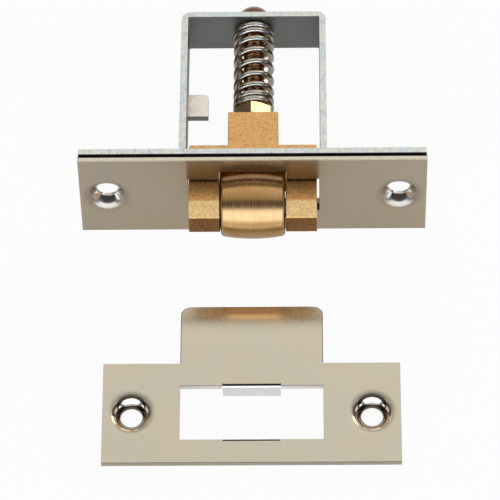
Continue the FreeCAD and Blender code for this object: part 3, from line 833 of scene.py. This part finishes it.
def drawn_steel(name, colour, roughness, scale):
    """Drawn or ground steel, bright, with darker patches."""
    metal, tree, shader = new_metal(name, colour, roughness)
    point = piece_point(tree, CATCH_BASE, CATCH_TURN)
    streak = noise(tree, point, scale, 3.0)
    streaked = tint(tree, spread(tree, streak, 0.0, 0.8, 0.4, 0.75), colour, shaded(colour, 0.62))
    tree.links.new(streaked, shader.inputs["Base Color"])
    tree.links.new(spread(tree, streak, roughness - 0.05, roughness + 0.12), shader.inputs["Roughness"])
    bump(tree, shader, streak, 0.008)
    return metal


pin_steel = drawn_steel("pin_steel", STEEL_COLOUR, 0.28, 2.0)
pin_end = PIN_RADIUS - PIN_CHAMFER[1]
pin_shoulder = PIN_HALF_LENGTH - PIN_CHAMFER[0]
pin_mesh = turned_round(
    [
        (-PIN_HALF_LENGTH, 0), (-PIN_HALF_LENGTH, pin_end), (-pin_shoulder, PIN_RADIUS),
        (pin_shoulder, PIN_RADIUS), (PIN_HALF_LENGTH, pin_end), (PIN_HALF_LENGTH, 0),
    ],
    48, "X",
)
roller_pin = finish_piece("roller_pin_ground", pin_mesh, ON_ROLLER_AXIS, pin_steel)
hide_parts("roller_pin")
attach(roller_pin, "carrier")

# Adjusting screw
# Threaded brass rod that passes through the bridge, the spring and the lock nut into the carrier's
# tail. Its turned round head stops against the back of the bridge.
HEAD_START = 45.45
HEAD_RADIUS = 3.7
HEAD_SHOULDER = 1.2
HEAD_HEIGHT = 4.6
THREAD_START = 11.32
THREAD_END = 44.6
THREAD_PITCH = 0.7
THREAD_DEPTH = 0.3
THREAD_ROWS = 8
SCREW_STEPS = 64
# painted shade: the rod's dark colour stands for the shade of the spring's coils round it
ROD_SHADE_COLOUR = (0.27, 0.135, 0.054)
HEAD_COLOUR = (0.35, 0.19, 0.135)


def evenly(low, high, parts):
    return [low + (high - low) * i / parts for i in range(parts + 1)]


def threaded_radius(along, turn):
    """The rod's radius at a place along it and a share of a turn round it. It is plain at both ends."""
    wave = 0.5 - 0.5 * math.cos(2 * math.pi * (along / THREAD_PITCH - turn))
    cut = min(1.0, (along - THREAD_START) / THREAD_PITCH, (THREAD_END - along) / THREAD_PITCH)
    return ROD_RADIUS - THREAD_DEPTH * wave * max(cut, 0.0)


def screw_ring(mesh, along, radius=None):
    """A ring of points round the screw, with the thread's radius where none is given."""
    ring = []
    for step in range(SCREW_STEPS):
        out = radius if radius else threaded_radius(along, step / SCREW_STEPS)
        turn = 2 * math.pi * step / SCREW_STEPS
        ring.append(mesh.verts.new((out * math.sin(turn), along, out * math.cos(turn))))
    return ring


screw_mesh = bmesh.new()
rod_rings = [screw_ring(screw_mesh, THREAD_START, ROD_RADIUS - THREAD_DEPTH)]
row_count = round((THREAD_END - THREAD_START) / THREAD_PITCH * THREAD_ROWS)
for along in evenly(THREAD_START + 0.25, THREAD_END, row_count):
    rod_rings.append(screw_ring(screw_mesh, along))
dome_rise = HEAD_HEIGHT - HEAD_SHOULDER
dome_radius = (HEAD_RADIUS ** 2 + dome_rise ** 2) / (2 * dome_rise)
dome_centre = HEAD_START + HEAD_HEIGHT - dome_radius
for along, radius in (
    (HEAD_START, ROD_RADIUS), (HEAD_START, HEAD_RADIUS - 0.2), (HEAD_START + 0.06, HEAD_RADIUS - 0.06),
    (HEAD_START + 0.2, HEAD_RADIUS), (HEAD_START + HEAD_SHOULDER, HEAD_RADIUS),
):
    rod_rings.append(screw_ring(screw_mesh, along, radius))
DOME_ROWS = 14
for step in range(1, DOME_ROWS):
    out = HEAD_RADIUS * math.cos(math.pi / 2 * step / DOME_ROWS)
    rod_rings.append(screw_ring(screw_mesh, dome_centre + math.sqrt(dome_radius ** 2 - out ** 2), out))
for first, second in zip(rod_rings, rod_rings[1:]):
    join_rings(screw_mesh, first, second)
screw_mesh.faces.new(rod_rings[0])
screw_mesh.faces.new(rod_rings[-1])
# the rod's colour is painted shade from the coils
screw_brass = turned_brass(
    "screw_brass", (0.05, 4.0, 0.05), ROD_SHADE_COLOUR, 0.2, (HEAD_START - 0.15, HEAD_COLOUR)
)
adjusting_screw = finish_piece("adjusting_screw_turned", screw_mesh, CATCH, screw_brass)
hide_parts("adjusting_screw")
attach(adjusting_screw, "carrier")

# Lock nut
# Brass hexagon nut, chamfered at both ends, run up the screw and tightened against the carrier's tail.
NUT_FLATS = 7.5
NUT_THICKNESS = 3.5
NUT_TURN = 6.0
NUT_COLOUR = (0.94, 0.635, 0.34)
nut_corner = NUT_FLATS / math.sqrt(3)
nut_outline = []
for number in range(6):
    angle = math.radians(NUT_TURN + 90 + 60 * number)
    nut_outline.append((nut_corner * math.cos(angle), nut_corner * math.sin(angle)))
nut_prism = extruded(nut_outline, 0.0, NUT_THICKNESS)
nut_prism.transform(Matrix(((1, 0, 0, 0), (0, 0, 1, TAIL_REAR), (0, 1, 0, 0), (0, 0, 0, 1))))
bmesh.ops.recalc_face_normals(nut_prism, faces=nut_prism.faces)
nut_body = as_object("nut_body", nut_prism)
flat_radius = NUT_FLATS / 2 - 0.1
chamfer_reach = nut_corner - flat_radius + 0.4
chamfer_rise = chamfer_reach * math.tan(math.radians(30))
nut_cone = as_object("nut_cone", turned_round(
    [
        (TAIL_REAR, ROD_RADIUS), (TAIL_REAR, flat_radius),
        (TAIL_REAR + chamfer_rise, flat_radius + chamfer_reach),
        (TAIL_REAR + NUT_THICKNESS - chamfer_rise, flat_radius + chamfer_reach),
        (TAIL_REAR + NUT_THICKNESS, flat_radius), (TAIL_REAR + NUT_THICKNESS, ROD_RADIUS),
    ],
    96, "Y",
))
nut_data = plain_mesh(nut_body, ("INTERSECT", nut_cone))
nut_brass = turned_brass("nut_brass", (1.2, 1.2, 1.2), NUT_COLOUR, 0.2)
lock_nut = place_piece("lock_nut_hexagon", nut_data, CATCH, nut_brass, 0.07, 2)
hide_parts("lock_nut")
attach(lock_nut, "carrier")

# Return spring
# Round steel wire wound with closed ends, pressed between the lock nut and the bridge. The coils open
# out towards the middle, and each end of the wire stops at the side, a quarter turn past the top.
WIRE_RADIUS = 0.62
COIL_RADIUS = 3.6
SPRING_TURNS = 8.5
CLOSED_TURNS = 0.5
END_TURN = 0.25
STEPS_PER_TURN = 48.0
SPRING_FRONT = TAIL_REAR + NUT_THICKNESS + 0.02 + WIRE_RADIUS
SPRING_BACK = bridge_front - 0.02 - WIRE_RADIUS
CLOSED_PITCH = 1.28
WIRE_SIDES = 20
WIRE_COLOUR = (0.63, 0.56, 0.44)
SPRING_SIZES = {
    "Turns": SPRING_TURNS,
    "Closed turns": CLOSED_TURNS,
    "Steps per turn": STEPS_PER_TURN,
    "Coil radius": COIL_RADIUS,
    "Wire radius": WIRE_RADIUS,
    "Start": SPRING_FRONT,
    "End": SPRING_BACK,
    "Closed pitch": CLOSED_PITCH,
}


def spring_tree(material):
    """Geometry nodes that wind a wire round the Y axis, with its sizes as inputs in millimetres."""
    tree = bpy.data.node_groups.new("wound_spring", "GeometryNodeTree")
    for label in SPRING_SIZES:
        tree.interface.new_socket(label, in_out="INPUT", socket_type="NodeSocketFloat")
    tree.interface.new_socket("Geometry", in_out="OUTPUT", socket_type="NodeSocketGeometry")
    given = tree.nodes.new("NodeGroupInput").outputs
    steps = times(tree, given["Turns"], given["Steps per turn"])
    line = tree.nodes.new("GeometryNodeCurvePrimitiveLine")
    resample = tree.nodes.new("GeometryNodeResampleCurve")
    tree.links.new(line.outputs["Curve"], resample.inputs["Curve"])
    tree.links.new(math_node(tree, "ADD", steps, 1.0), resample.inputs["Count"])
    index = tree.nodes.new("GeometryNodeInputIndex").outputs[0]
    turn = math_node(tree, "DIVIDE", index, given["Steps per turn"])
    open_turns = math_node(tree, "SUBTRACT", given["Turns"], times(tree, given["Closed turns"], 2.0))
    share = math_node(tree, "DIVIDE", math_node(tree, "SUBTRACT", turn, given["Closed turns"]), open_turns)
    share = math_node(tree, "MINIMUM", math_node(tree, "MAXIMUM", share, 0.0), 1.0)
    wave = math_node(tree, "COSINE", times(tree, share, math.pi))
    eased = math_node(tree, "DIVIDE", math_node(tree, "SUBTRACT", 1.0, wave), 2.0)
    whole = math_node(tree, "SUBTRACT", given["End"], given["Start"])
    closed_length = times(tree, given["Turns"], given["Closed pitch"])
    open_length = math_node(tree, "SUBTRACT", whole, closed_length)
    closed = math_node(tree, "ADD", given["Start"], times(tree, turn, given["Closed pitch"]))
    along = math_node(tree, "ADD", closed, times(tree, eased, open_length))
    phase = times(tree, math_node(tree, "SUBTRACT", turn, END_TURN), 2 * math.pi)
    across = times(tree, given["Coil radius"], math_node(tree, "SINE", phase))
    height = times(tree, given["Coil radius"], math_node(tree, "COSINE", phase))
    place = tree.nodes.new("ShaderNodeCombineXYZ")
    for socket, value in zip(place.inputs, (across, along, height)):
        tree.links.new(value, socket)
    wind = tree.nodes.new("GeometryNodeSetPosition")
    tree.links.new(resample.outputs["Curve"], wind.inputs["Geometry"])
    tree.links.new(place.outputs["Vector"], wind.inputs["Position"])
    wire_section = tree.nodes.new("GeometryNodeCurvePrimitiveCircle")
    wire_section.inputs["Resolution"].default_value = WIRE_SIDES
    tree.links.new(given["Wire radius"], wire_section.inputs["Radius"])
    drawn = tree.nodes.new("GeometryNodeCurveToMesh")
    tree.links.new(wind.outputs["Geometry"], drawn.inputs["Curve"])
    tree.links.new(wire_section.outputs["Curve"], drawn.inputs["Profile Curve"])
    drawn.inputs["Fill Caps"].default_value = True
    realized = tree.nodes.new("GeometryNodeRealizeInstances")
    tree.links.new(drawn.outputs["Mesh"], realized.inputs["Geometry"])
    coated = tree.nodes.new("GeometryNodeSetMaterial")
    coated.inputs["Material"].default_value = material
    tree.links.new(realized.outputs["Geometry"], coated.inputs["Geometry"])
    tree.links.new(coated.outputs["Geometry"], tree.nodes.new("NodeGroupOutput").inputs[0])
    return tree


spring_steel = drawn_steel("spring_steel", WIRE_COLOUR, 0.14, 1.6)
spring_blank = bpy.data.objects.new("spring_blank", bpy.data.meshes.new("spring_blank"))
bpy.context.scene.collection.objects.link(spring_blank)
winding = spring_blank.modifiers.new("winding", "NODES")
winding.node_group = spring_tree(spring_steel)
for socket in winding.node_group.interface.items_tree:
    if socket.in_out == "INPUT":
        winding[socket.identifier] = SPRING_SIZES[socket.name]
spring_data = plain_mesh(spring_blank)
return_spring = place_piece("return_spring_wound", spring_data, CATCH, spring_steel, angle=50.0)
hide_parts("return_spring")
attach(return_spring, "case")
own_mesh(return_spring)

# Strike plate
# One nickel-plated pressing: a rectangular opening for the roller with two tabs folded down from its
# long sides, two screw dimples, and a lip that curves down so the roller can ride up it.
STRIKE_HALF_LENGTH = 29.5
STRIKE_HALF_WIDTH = 11.0
STRIKE_THICKNESS = 1.5
STRIKE_SCREW_OFFSET = 23.8
STRIKE_DIMPLE = {
    "hole": 2.2, "depth": 1.9, "rim": 1.0, "thickness": STRIKE_THICKNESS,
    "start": 5.12, "bend": 2.9, "slope": 52,
}
OPENING_HALF = (14.2, 6.0)
TAB_HALF_WIDTH = 5.75
TAB_DEPTH = 4.0
TAB_FACE = 5.7
TAB_BEND = 0.8
TAB_HEEL = 0.25
TAB_MIDDLE = 2.6
TAB_SLIT = 0.08
LIP_HALF_WIDTH = 14.2
LIP_FLAT = 4.4
LIP_RADIUS = 23.6
LIP_SWEEP = 24.0
LIP_CORNER = 2.3
LIP_COLUMNS = 12
LIP_FLAT_ROWS = 4
LIP_CURVE_ROWS = 16
TAB_COLUMNS = 4
STRIKE_COLOUR = (0.65, 0.59, 0.456)
STRIKE_EDGE_COLOUR = (0.57, 0.46, 0.35)
# the cups' ring is lightened into a painted highlight, and their bottom darkened as painted shade
STRIKE_CUP_HIGHLIGHT_COLOUR = (0.92, 0.74, 0.54)
# painted light: the walls of the opening are near white
STRIKE_WALL_LIGHT_COLOUR = (1.0, 0.95, 0.87)
# painted shade on the rolled rims
RIM_SHADE_COLOUR = (0.03, 0.022, 0.016)
# painted reflection of the roller on the lip's end
LIP_REFLECTION_COLOUR = (0.98, 0.88, 0.72)
STRIKE_CUP_RUBBED = (3.85, 4.0)
# radius inside which each cup is darkened as painted shade
STRIKE_CUP_SHADE_EDGE = 2.6
STRIKE_BASE = Vector((-0.3, -42.1231, 4.0)) * MM
# the sheet is drawn along X and Y and its depth runs down
FLAT = Matrix.Translation(STRIKE_BASE) @ Matrix.Scale(MM, 4) @ Matrix.Diagonal((1, 1, -1, 1))


def grow_strip(sheet, top_row, under_row, rows):
    """Continues a sheet row by row from its open edge, and closes the sides and the end."""
    for top_points, under_points in rows:
        new_top = [sheet.verts.new(p) for p in top_points]
        new_under = [sheet.verts.new(p) for p in under_points]
        for i in range(len(top_row) - 1):
            sheet.faces.new((top_row[i], top_row[i + 1], new_top[i + 1], new_top[i]))
            sheet.faces.new((under_row[i], under_row[i + 1], new_under[i + 1], new_under[i]))
        for end in (0, -1):
            sheet.faces.new((top_row[end], new_top[end], new_under[end], under_row[end]))
        top_row, under_row = new_top, new_under
    for i in range(len(top_row) - 1):
        sheet.faces.new((top_row[i], top_row[i + 1], under_row[i + 1], under_row[i]))


lip_across = evenly(-LIP_HALF_WIDTH, LIP_HALF_WIDTH, LIP_COLUMNS)
tab_across = evenly(-TAB_HALF_WIDTH, TAB_HALF_WIDTH, TAB_COLUMNS)
tab_root = TAB_FACE + TAB_BEND
strike_outline = (
    [(-STRIKE_HALF_LENGTH, -STRIKE_HALF_WIDTH), (STRIKE_HALF_LENGTH, -STRIKE_HALF_WIDTH),
     (STRIKE_HALF_LENGTH, STRIKE_HALF_WIDTH)]
    + [(x, STRIKE_HALF_WIDTH) for x in reversed(lip_across)]
    + [(-STRIKE_HALF_LENGTH, STRIKE_HALF_WIDTH)]
)
slit = TAB_HALF_WIDTH + TAB_SLIT


def opening_side(direction):
    """One long side of the opening, notched for its tab: 1 is the side by the lip, -1 the other."""
    half_length, half_width = OPENING_HALF
    side = [(-half_length, half_width), (-slit, half_width), (-slit, tab_root)]
    side += [(x, tab_root) for x in tab_across]
    side += [(slit, tab_root), (slit, half_width), (half_length, half_width)]
    return [(direction * x, direction * y) for x, y in side]


# where the lip and the two tabs start, as points of the outline and of the opening
lip_first = 3
first_tab = 3
second_tab = len(opening_side(1)) + first_tab
strike_opening = opening_side(1) + opening_side(-1)
open_walls = {(0, lip_first + i) for i in range(LIP_COLUMNS)}
open_walls |= {(1, first + i) for first in (first_tab, second_tab) for i in range(TAB_COLUMNS)}
strike_mesh, strike_top, strike_under = pressed_sheet(
    strike_outline, [strike_opening],
    [(-STRIKE_SCREW_OFFSET, 0.0), (STRIKE_SCREW_OFFSET, 0.0)],
    dimple_profile(**STRIKE_DIMPLE), STRIKE_THICKNESS, open_walls,
)
lip_length = math.radians(LIP_SWEEP) * LIP_RADIUS
remaining = LIP_FLAT + lip_length
distances = evenly(0.0, LIP_FLAT, LIP_FLAT_ROWS)[1:]
distances += [LIP_FLAT + lip_length * i / LIP_CURVE_ROWS for i in range(1, LIP_CURVE_ROWS - 2)]
for angle in (20, 40, 55, 70, 80, 90):
    distances.append(remaining - LIP_CORNER * (1 - math.sin(math.radians(angle))))
distances = sorted(distances)


def lip_point(across, distance, depth):
    """A point on the lip, a distance along it and a depth below its face."""
    if distance <= LIP_FLAT:
        return (across, STRIKE_HALF_WIDTH + distance, depth)
    angle = (distance - LIP_FLAT) / LIP_RADIUS
    radius = LIP_RADIUS - depth
    return (
        across,
        STRIKE_HALF_WIDTH + LIP_FLAT + radius * math.sin(angle),
        LIP_RADIUS - radius * math.cos(angle),
    )


lip_rows = []
for distance in distances:
    short = max(0.0, distance - (remaining - LIP_CORNER))
    half = LIP_HALF_WIDTH - LIP_CORNER + math.sqrt(max(0.0, LIP_CORNER ** 2 - short ** 2))
    across_row = [half * x / LIP_HALF_WIDTH for x in reversed(lip_across)]
    lip_rows.append((
        [lip_point(x, distance, 0.0) for x in across_row],
        [lip_point(x, distance, STRIKE_THICKNESS) for x in across_row],
    ))
lip_roots = slice(lip_first, lip_first + LIP_COLUMNS + 1)
grow_strip(strike_mesh, strike_top[0][lip_roots], strike_under[0][lip_roots], lip_rows)
for first, direction in ((first_tab, 1), (second_tab, -1)):
    roots = slice(first, first + TAB_COLUMNS + 1)
    across_row = [direction * x for x in tab_across]
    tab_rows = []
    for angle in (15, 30, 45, 60, 75, 90):
        turn = math.radians(angle)
        bent = angle / 90
        outer = (tab_root - TAB_BEND * math.sin(turn), TAB_BEND * (1 - math.cos(turn)))
        back = (outer[0] + STRIKE_THICKNESS * bent, STRIKE_THICKNESS + TAB_HEEL * bent)
        tab_rows.append((
            [(x, direction * outer[0], outer[1]) for x in across_row],
            [(x, direction * back[0], back[1]) for x in across_row],
        ))
    for depth in (TAB_MIDDLE, TAB_DEPTH):
        tab_rows.append((
            [(x, direction * TAB_FACE, depth) for x in across_row],
            [(x, direction * (TAB_FACE + STRIKE_THICKNESS), depth) for x in across_row],
        ))
    grow_strip(strike_mesh, strike_top[1][roots], strike_under[1][roots], tab_rows)
lip_end = lip_point(0.0, remaining, 0.0)[1]


def strike_satin(name):
    """The strike: painted shade on its rolled rims, painted light on the walls of its opening, and a lip
    smoothed where the roller rubs it, with a painted reflection of the roller there.
    """
    unturned = (0.0, 0.0, 0.0)
    metal, tree, shader, point, plated, satin = nickel_plate(name, STRIKE_COLOUR, STRIKE_BASE, unturned)
    side = to_the_side(tree, point)
    along = axis_value(tree, point, "Y")
    depth = times(tree, axis_value(tree, point, "Z"), -1.0)
    near = near_dimples(tree, point, (1.0, 1.0, 0.0), STRIKE_SCREW_OFFSET)
    on_lip = past(tree, along, STRIKE_HALF_WIDTH + 0.05, 0.1)
    # where the roller rubs the lip's end it is smoother, and a painted reflection of the roller lightens it
    rub_and_reflection = times(tree, past(tree, along, lip_end - 4.5, 3.5), within(tree, side, 4.4, 2.8))
    # painted shade in a ring round each dimple
    plated = dimple_shade(tree, near, tint(tree, rub_and_reflection, plated, LIP_REFLECTION_COLOUR), STRIKE_COLOUR, 4.8)
    in_opening = times(
        tree, within(tree, side, OPENING_HALF[0] + 0.2, 0.1),
        within(tree, to_the_side(tree, point, "Y"), tab_root + 1.2, 0.1),
    )
    # painted light on the walls of the opening
    edge = tint(tree, in_opening, torn_edge(tree, point, STRIKE_EDGE_COLOUR), STRIKE_WALL_LIGHT_COLOUR)
    # painted shade: the rounded top of each edge is black
    edge = tint(tree, within(tree, depth, 0.20, 0.06), edge, RIM_SHADE_COLOUR)
    sheared = times(tree, past(tree, depth, 0.01, 0.02), past(tree, near, DIMPLE_LAND, 0.1))
    sheared = times(tree, sheared, math_node(tree, "SUBTRACT", 1.0, on_lip))
    edged = tint(tree, sheared, plated, edge)
    beside = math_node(tree, "MAXIMUM", math_node(tree, "SUBTRACT", side, LIP_HALF_WIDTH - LIP_CORNER), 0.0)
    beyond = math_node(tree, "MAXIMUM", math_node(tree, "SUBTRACT", along, lip_end - LIP_CORNER), 0.0)
    reach = math_node(
        tree, "SQRT", math_node(tree, "ADD", times(tree, beside, beside), times(tree, beyond, beyond))
    )
    # painted shade along the lip's rounded edge
    lip_rim_shade = times(tree, past(tree, reach, LIP_CORNER - 0.16, 0.06), on_lip)
    edged = tint(tree, lip_rim_shade, edged, RIM_SHADE_COLOUR)
    # painted shade at the bottom of each cup, below a painted highlight ring
    cup_shade = within(tree, near, STRIKE_CUP_SHADE_EDGE, 0.35)
    cup = tint(tree, cup_shade, STRIKE_CUP_HIGHLIGHT_COLOUR, shaded(STRIKE_CUP_HIGHLIGHT_COLOUR, 0.22))
    satin = number_mix(tree, rub_and_reflection, satin, 0.15)
    rub_cups(tree, shader, near, STRIKE_CUP_RUBBED, (edged, cup), (satin, 0.06))
    return metal


strike_nickel = strike_satin("strike_nickel")
strike_plate = finish_piece("strike_plate_pressed", strike_mesh, FLAT, strike_nickel, 0.24)
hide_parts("strike_plate")
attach(strike_plate, "case")

# Table, light and camera
# A white table under a studio sky that is bright in front and behind and dark overhead, as the metal
# shows it, with one lamp from the right behind, and the camera that was fitted to the photograph.
TABLE_HALF = 1.6
PAPER_COLOUR = (0.8, 0.79, 0.78)
SEEN_WHITE = 0.95
# in reflections only, the table's white is dimmer near the catch and behind it than far in front: a painted
# shadow round the object
MIRRORED_WHITE = (0.36, 0.78)
FRONT_OF_TABLE = (-0.075, -0.12)
FRONT_COLOUR = (0.97, 1.15, 1.52)
table_mesh = bmesh.new()
bmesh.ops.create_grid(table_mesh, x_segments=1, y_segments=1, size=TABLE_HALF)
table_data = bpy.data.meshes.new("table")
table_mesh.to_mesh(table_data)
table_mesh.free()
table = bpy.data.objects.new("table", table_data)
bpy.context.scene.collection.objects.link(table)
table_paper = bpy.data.materials.new("table_paper")
table_paper.use_nodes = True
paper_tree = table_paper.node_tree
paper = paper_tree.nodes["Principled BSDF"]
paper.inputs["Base Color"].default_value = (*PAPER_COLOUR, 1.0)
paper.inputs["Roughness"].default_value = 0.9
paper.inputs["Specular IOR Level"].default_value = 0.1
white = paper_tree.nodes.new("ShaderNodeEmission")
white.inputs["Strength"].default_value = 1.0
path = paper_tree.nodes.new("ShaderNodeLightPath")
shown = paper_tree.nodes.new("ShaderNodeMixShader")
seen = times(paper_tree, path.outputs["Is Camera Ray"], SEEN_WHITE)
table_y = axis_value(paper_tree, paper_tree.nodes.new("ShaderNodeTexCoord").outputs["Object"], "Y")
mirror_ray = math_node(
    paper_tree, "MAXIMUM", path.outputs["Is Glossy Ray"], path.outputs["Is Transmission Ray"]
)
# painted shadow: reflections see the table darker near the catch
mirrored = times(paper_tree, mirror_ray, spread(paper_tree, table_y, *MIRRORED_WHITE, *FRONT_OF_TABLE))
paper_tree.links.new(math_node(paper_tree, "MAXIMUM", seen, mirrored), shown.inputs["Fac"])
paper_tree.links.new(paper.outputs["BSDF"], shown.inputs[1])
paper_tree.links.new(white.outputs["Emission"], shown.inputs[2])
paper_tree.links.new(shown.outputs["Shader"], paper_tree.nodes["Material Output"].inputs["Surface"])
table_data.materials.append(table_paper)

world = bpy.data.worlds.new("studio")
bpy.context.scene.world = world
world.use_nodes = True
sky = world.node_tree
looking = sky.nodes.new("ShaderNodeTexCoord").outputs["Generated"]
parts = sky.nodes.new("ShaderNodeSeparateXYZ")
sky.links.new(looking, parts.inputs[0])
forward = times(sky, parts.outputs["Y"], -1.0)
over = math_node(sky, "DIVIDE", math_node(sky, "ARCTAN2", parts.outputs["Z"], forward), math.pi)


def ramp(tree, value, stops):
    """A level that follows a value through a list of stops."""
    step = tree.nodes.new("ShaderNodeValToRGB")
    tree.links.new(value, step.inputs["Fac"])
    while len(step.color_ramp.elements) < len(stops):
        step.color_ramp.elements.new(0.5)
    for element, (position, level) in zip(step.color_ramp.elements, stops):
        element.position = position
        element.color = (level, level, level, 1.0)
    return step.outputs["Color"]


# levels in degrees from the front horizon, over the top, to the horizon behind
ARCH_LEVELS = (
    (0, 2.15), (30, 2.35), (44, 2.15), (49, 0.2), (58, 0.07), (77, 0.085), (84, 0.6), (110, 0.78),
    (119, 1.0), (150, 0.85), (163, 0.44), (180, 0.15),
)
# levels from the left to the right, of the sky in front and of the sky behind
FRONT_LEVELS = (
    (0.0, 0.75), (0.04, 0.7), (0.07, 0.12), (0.12, 0.12), (0.24, 1.0), (0.76, 1.0), (0.88, 0.12),
    (0.93, 0.12), (0.96, 0.7), (1.0, 0.75),
)
BACK_LEVELS = (
    (0.0, 0.75), (0.04, 0.7), (0.07, 0.1), (0.13, 0.1), (0.20, 0.85), (0.5, 1.0), (0.79, 1.15),
    (0.86, 0.12), (0.93, 0.1), (0.96, 0.7), (1.0, 0.75),
)
arch = ramp(sky, over, [(angle / 180, level) for angle, level in ARCH_LEVELS])
across = math_node(sky, "MULTIPLY_ADD", parts.outputs["X"], 0.5, 0.5)
front_width = ramp(sky, across, FRONT_LEVELS)
back_width = ramp(sky, across, BACK_LEVELS)
behind = spread(sky, parts.outputs["Y"], 0.0, 1.0, -0.1, 0.15)
level = times(sky, arch, number_mix(sky, behind, front_width, back_width))
camera_ray = sky.nodes.new("ShaderNodeLightPath").outputs["Is Camera Ray"]
level = times(sky, level, math_node(sky, "SUBTRACT", 1.0, camera_ray))
level = math_node(sky, "ADD", level, camera_ray)
sky.links.new(level, sky.nodes["Background"].inputs["Strength"])
in_front = spread(sky, over, 1.0, 0.0, 44 / 180, 52 / 180)
sky_colour = tint(sky, in_front, (1.0, 1.0, 1.0), FRONT_COLOUR)
sky.links.new(sky_colour, sky.nodes["Background"].inputs["Color"])

LAMP_PLACE = Vector((0.35, 0.43, 0.27))
LAMP_SIZE = (0.24, 0.18)
LAMP_WATTS = 0.21
lamp_data = bpy.data.lights.new("side_panel", "AREA")
lamp_data.shape = "RECTANGLE"
lamp_data.size, lamp_data.size_y = LAMP_SIZE
lamp_data.energy = LAMP_WATTS
lamp = bpy.data.objects.new("side_panel", lamp_data)
lamp.location = LAMP_PLACE
lamp.rotation_euler = (-LAMP_PLACE).to_track_quat("-Z", "Y").to_euler()
bpy.context.scene.collection.objects.link(lamp)

CAMERA_ELEVATION = math.radians(59.65)
CAMERA_AZIMUTH = math.radians(1.80)
CAMERA_ROLL = math.radians(-1.89)
CAMERA_DISTANCE = 730.0
PIXELS_PER_MM = 4.878
CAMERA_SHIFT = (0.81, 6.85)
AIM = Vector((0.0, 5.2769, -0.1))
IMAGE_WIDTH = 500
SENSOR = 36.0
backward = Vector((
    math.sin(CAMERA_AZIMUTH) * math.cos(CAMERA_ELEVATION),
    -math.cos(CAMERA_AZIMUTH) * math.cos(CAMERA_ELEVATION),
    math.sin(CAMERA_ELEVATION),
))
level_right = Vector((math.cos(CAMERA_AZIMUTH), math.sin(CAMERA_AZIMUTH), 0.0))
level_up = backward.cross(level_right)
right = math.cos(CAMERA_ROLL) * level_right + math.sin(CAMERA_ROLL) * level_up
up = -math.sin(CAMERA_ROLL) * level_right + math.cos(CAMERA_ROLL) * level_up
where = AIM - right * CAMERA_SHIFT[0] - up * CAMERA_SHIFT[1] + backward * CAMERA_DISTANCE
camera_data = bpy.data.cameras.new("camera")
camera_data.sensor_width = SENSOR
camera_data.lens = PIXELS_PER_MM * CAMERA_DISTANCE / IMAGE_WIDTH * SENSOR
camera_data.clip_end = 20.0
camera = bpy.data.objects.new("camera", camera_data)
camera.matrix_world = Matrix.Translation(where * MM) @ Matrix((right, up, backward)).transposed().to_4x4()
bpy.context.scene.collection.objects.link(camera)
bpy.context.scene.camera = camera
bpy.context.scene.view_settings.view_transform = "Standard"
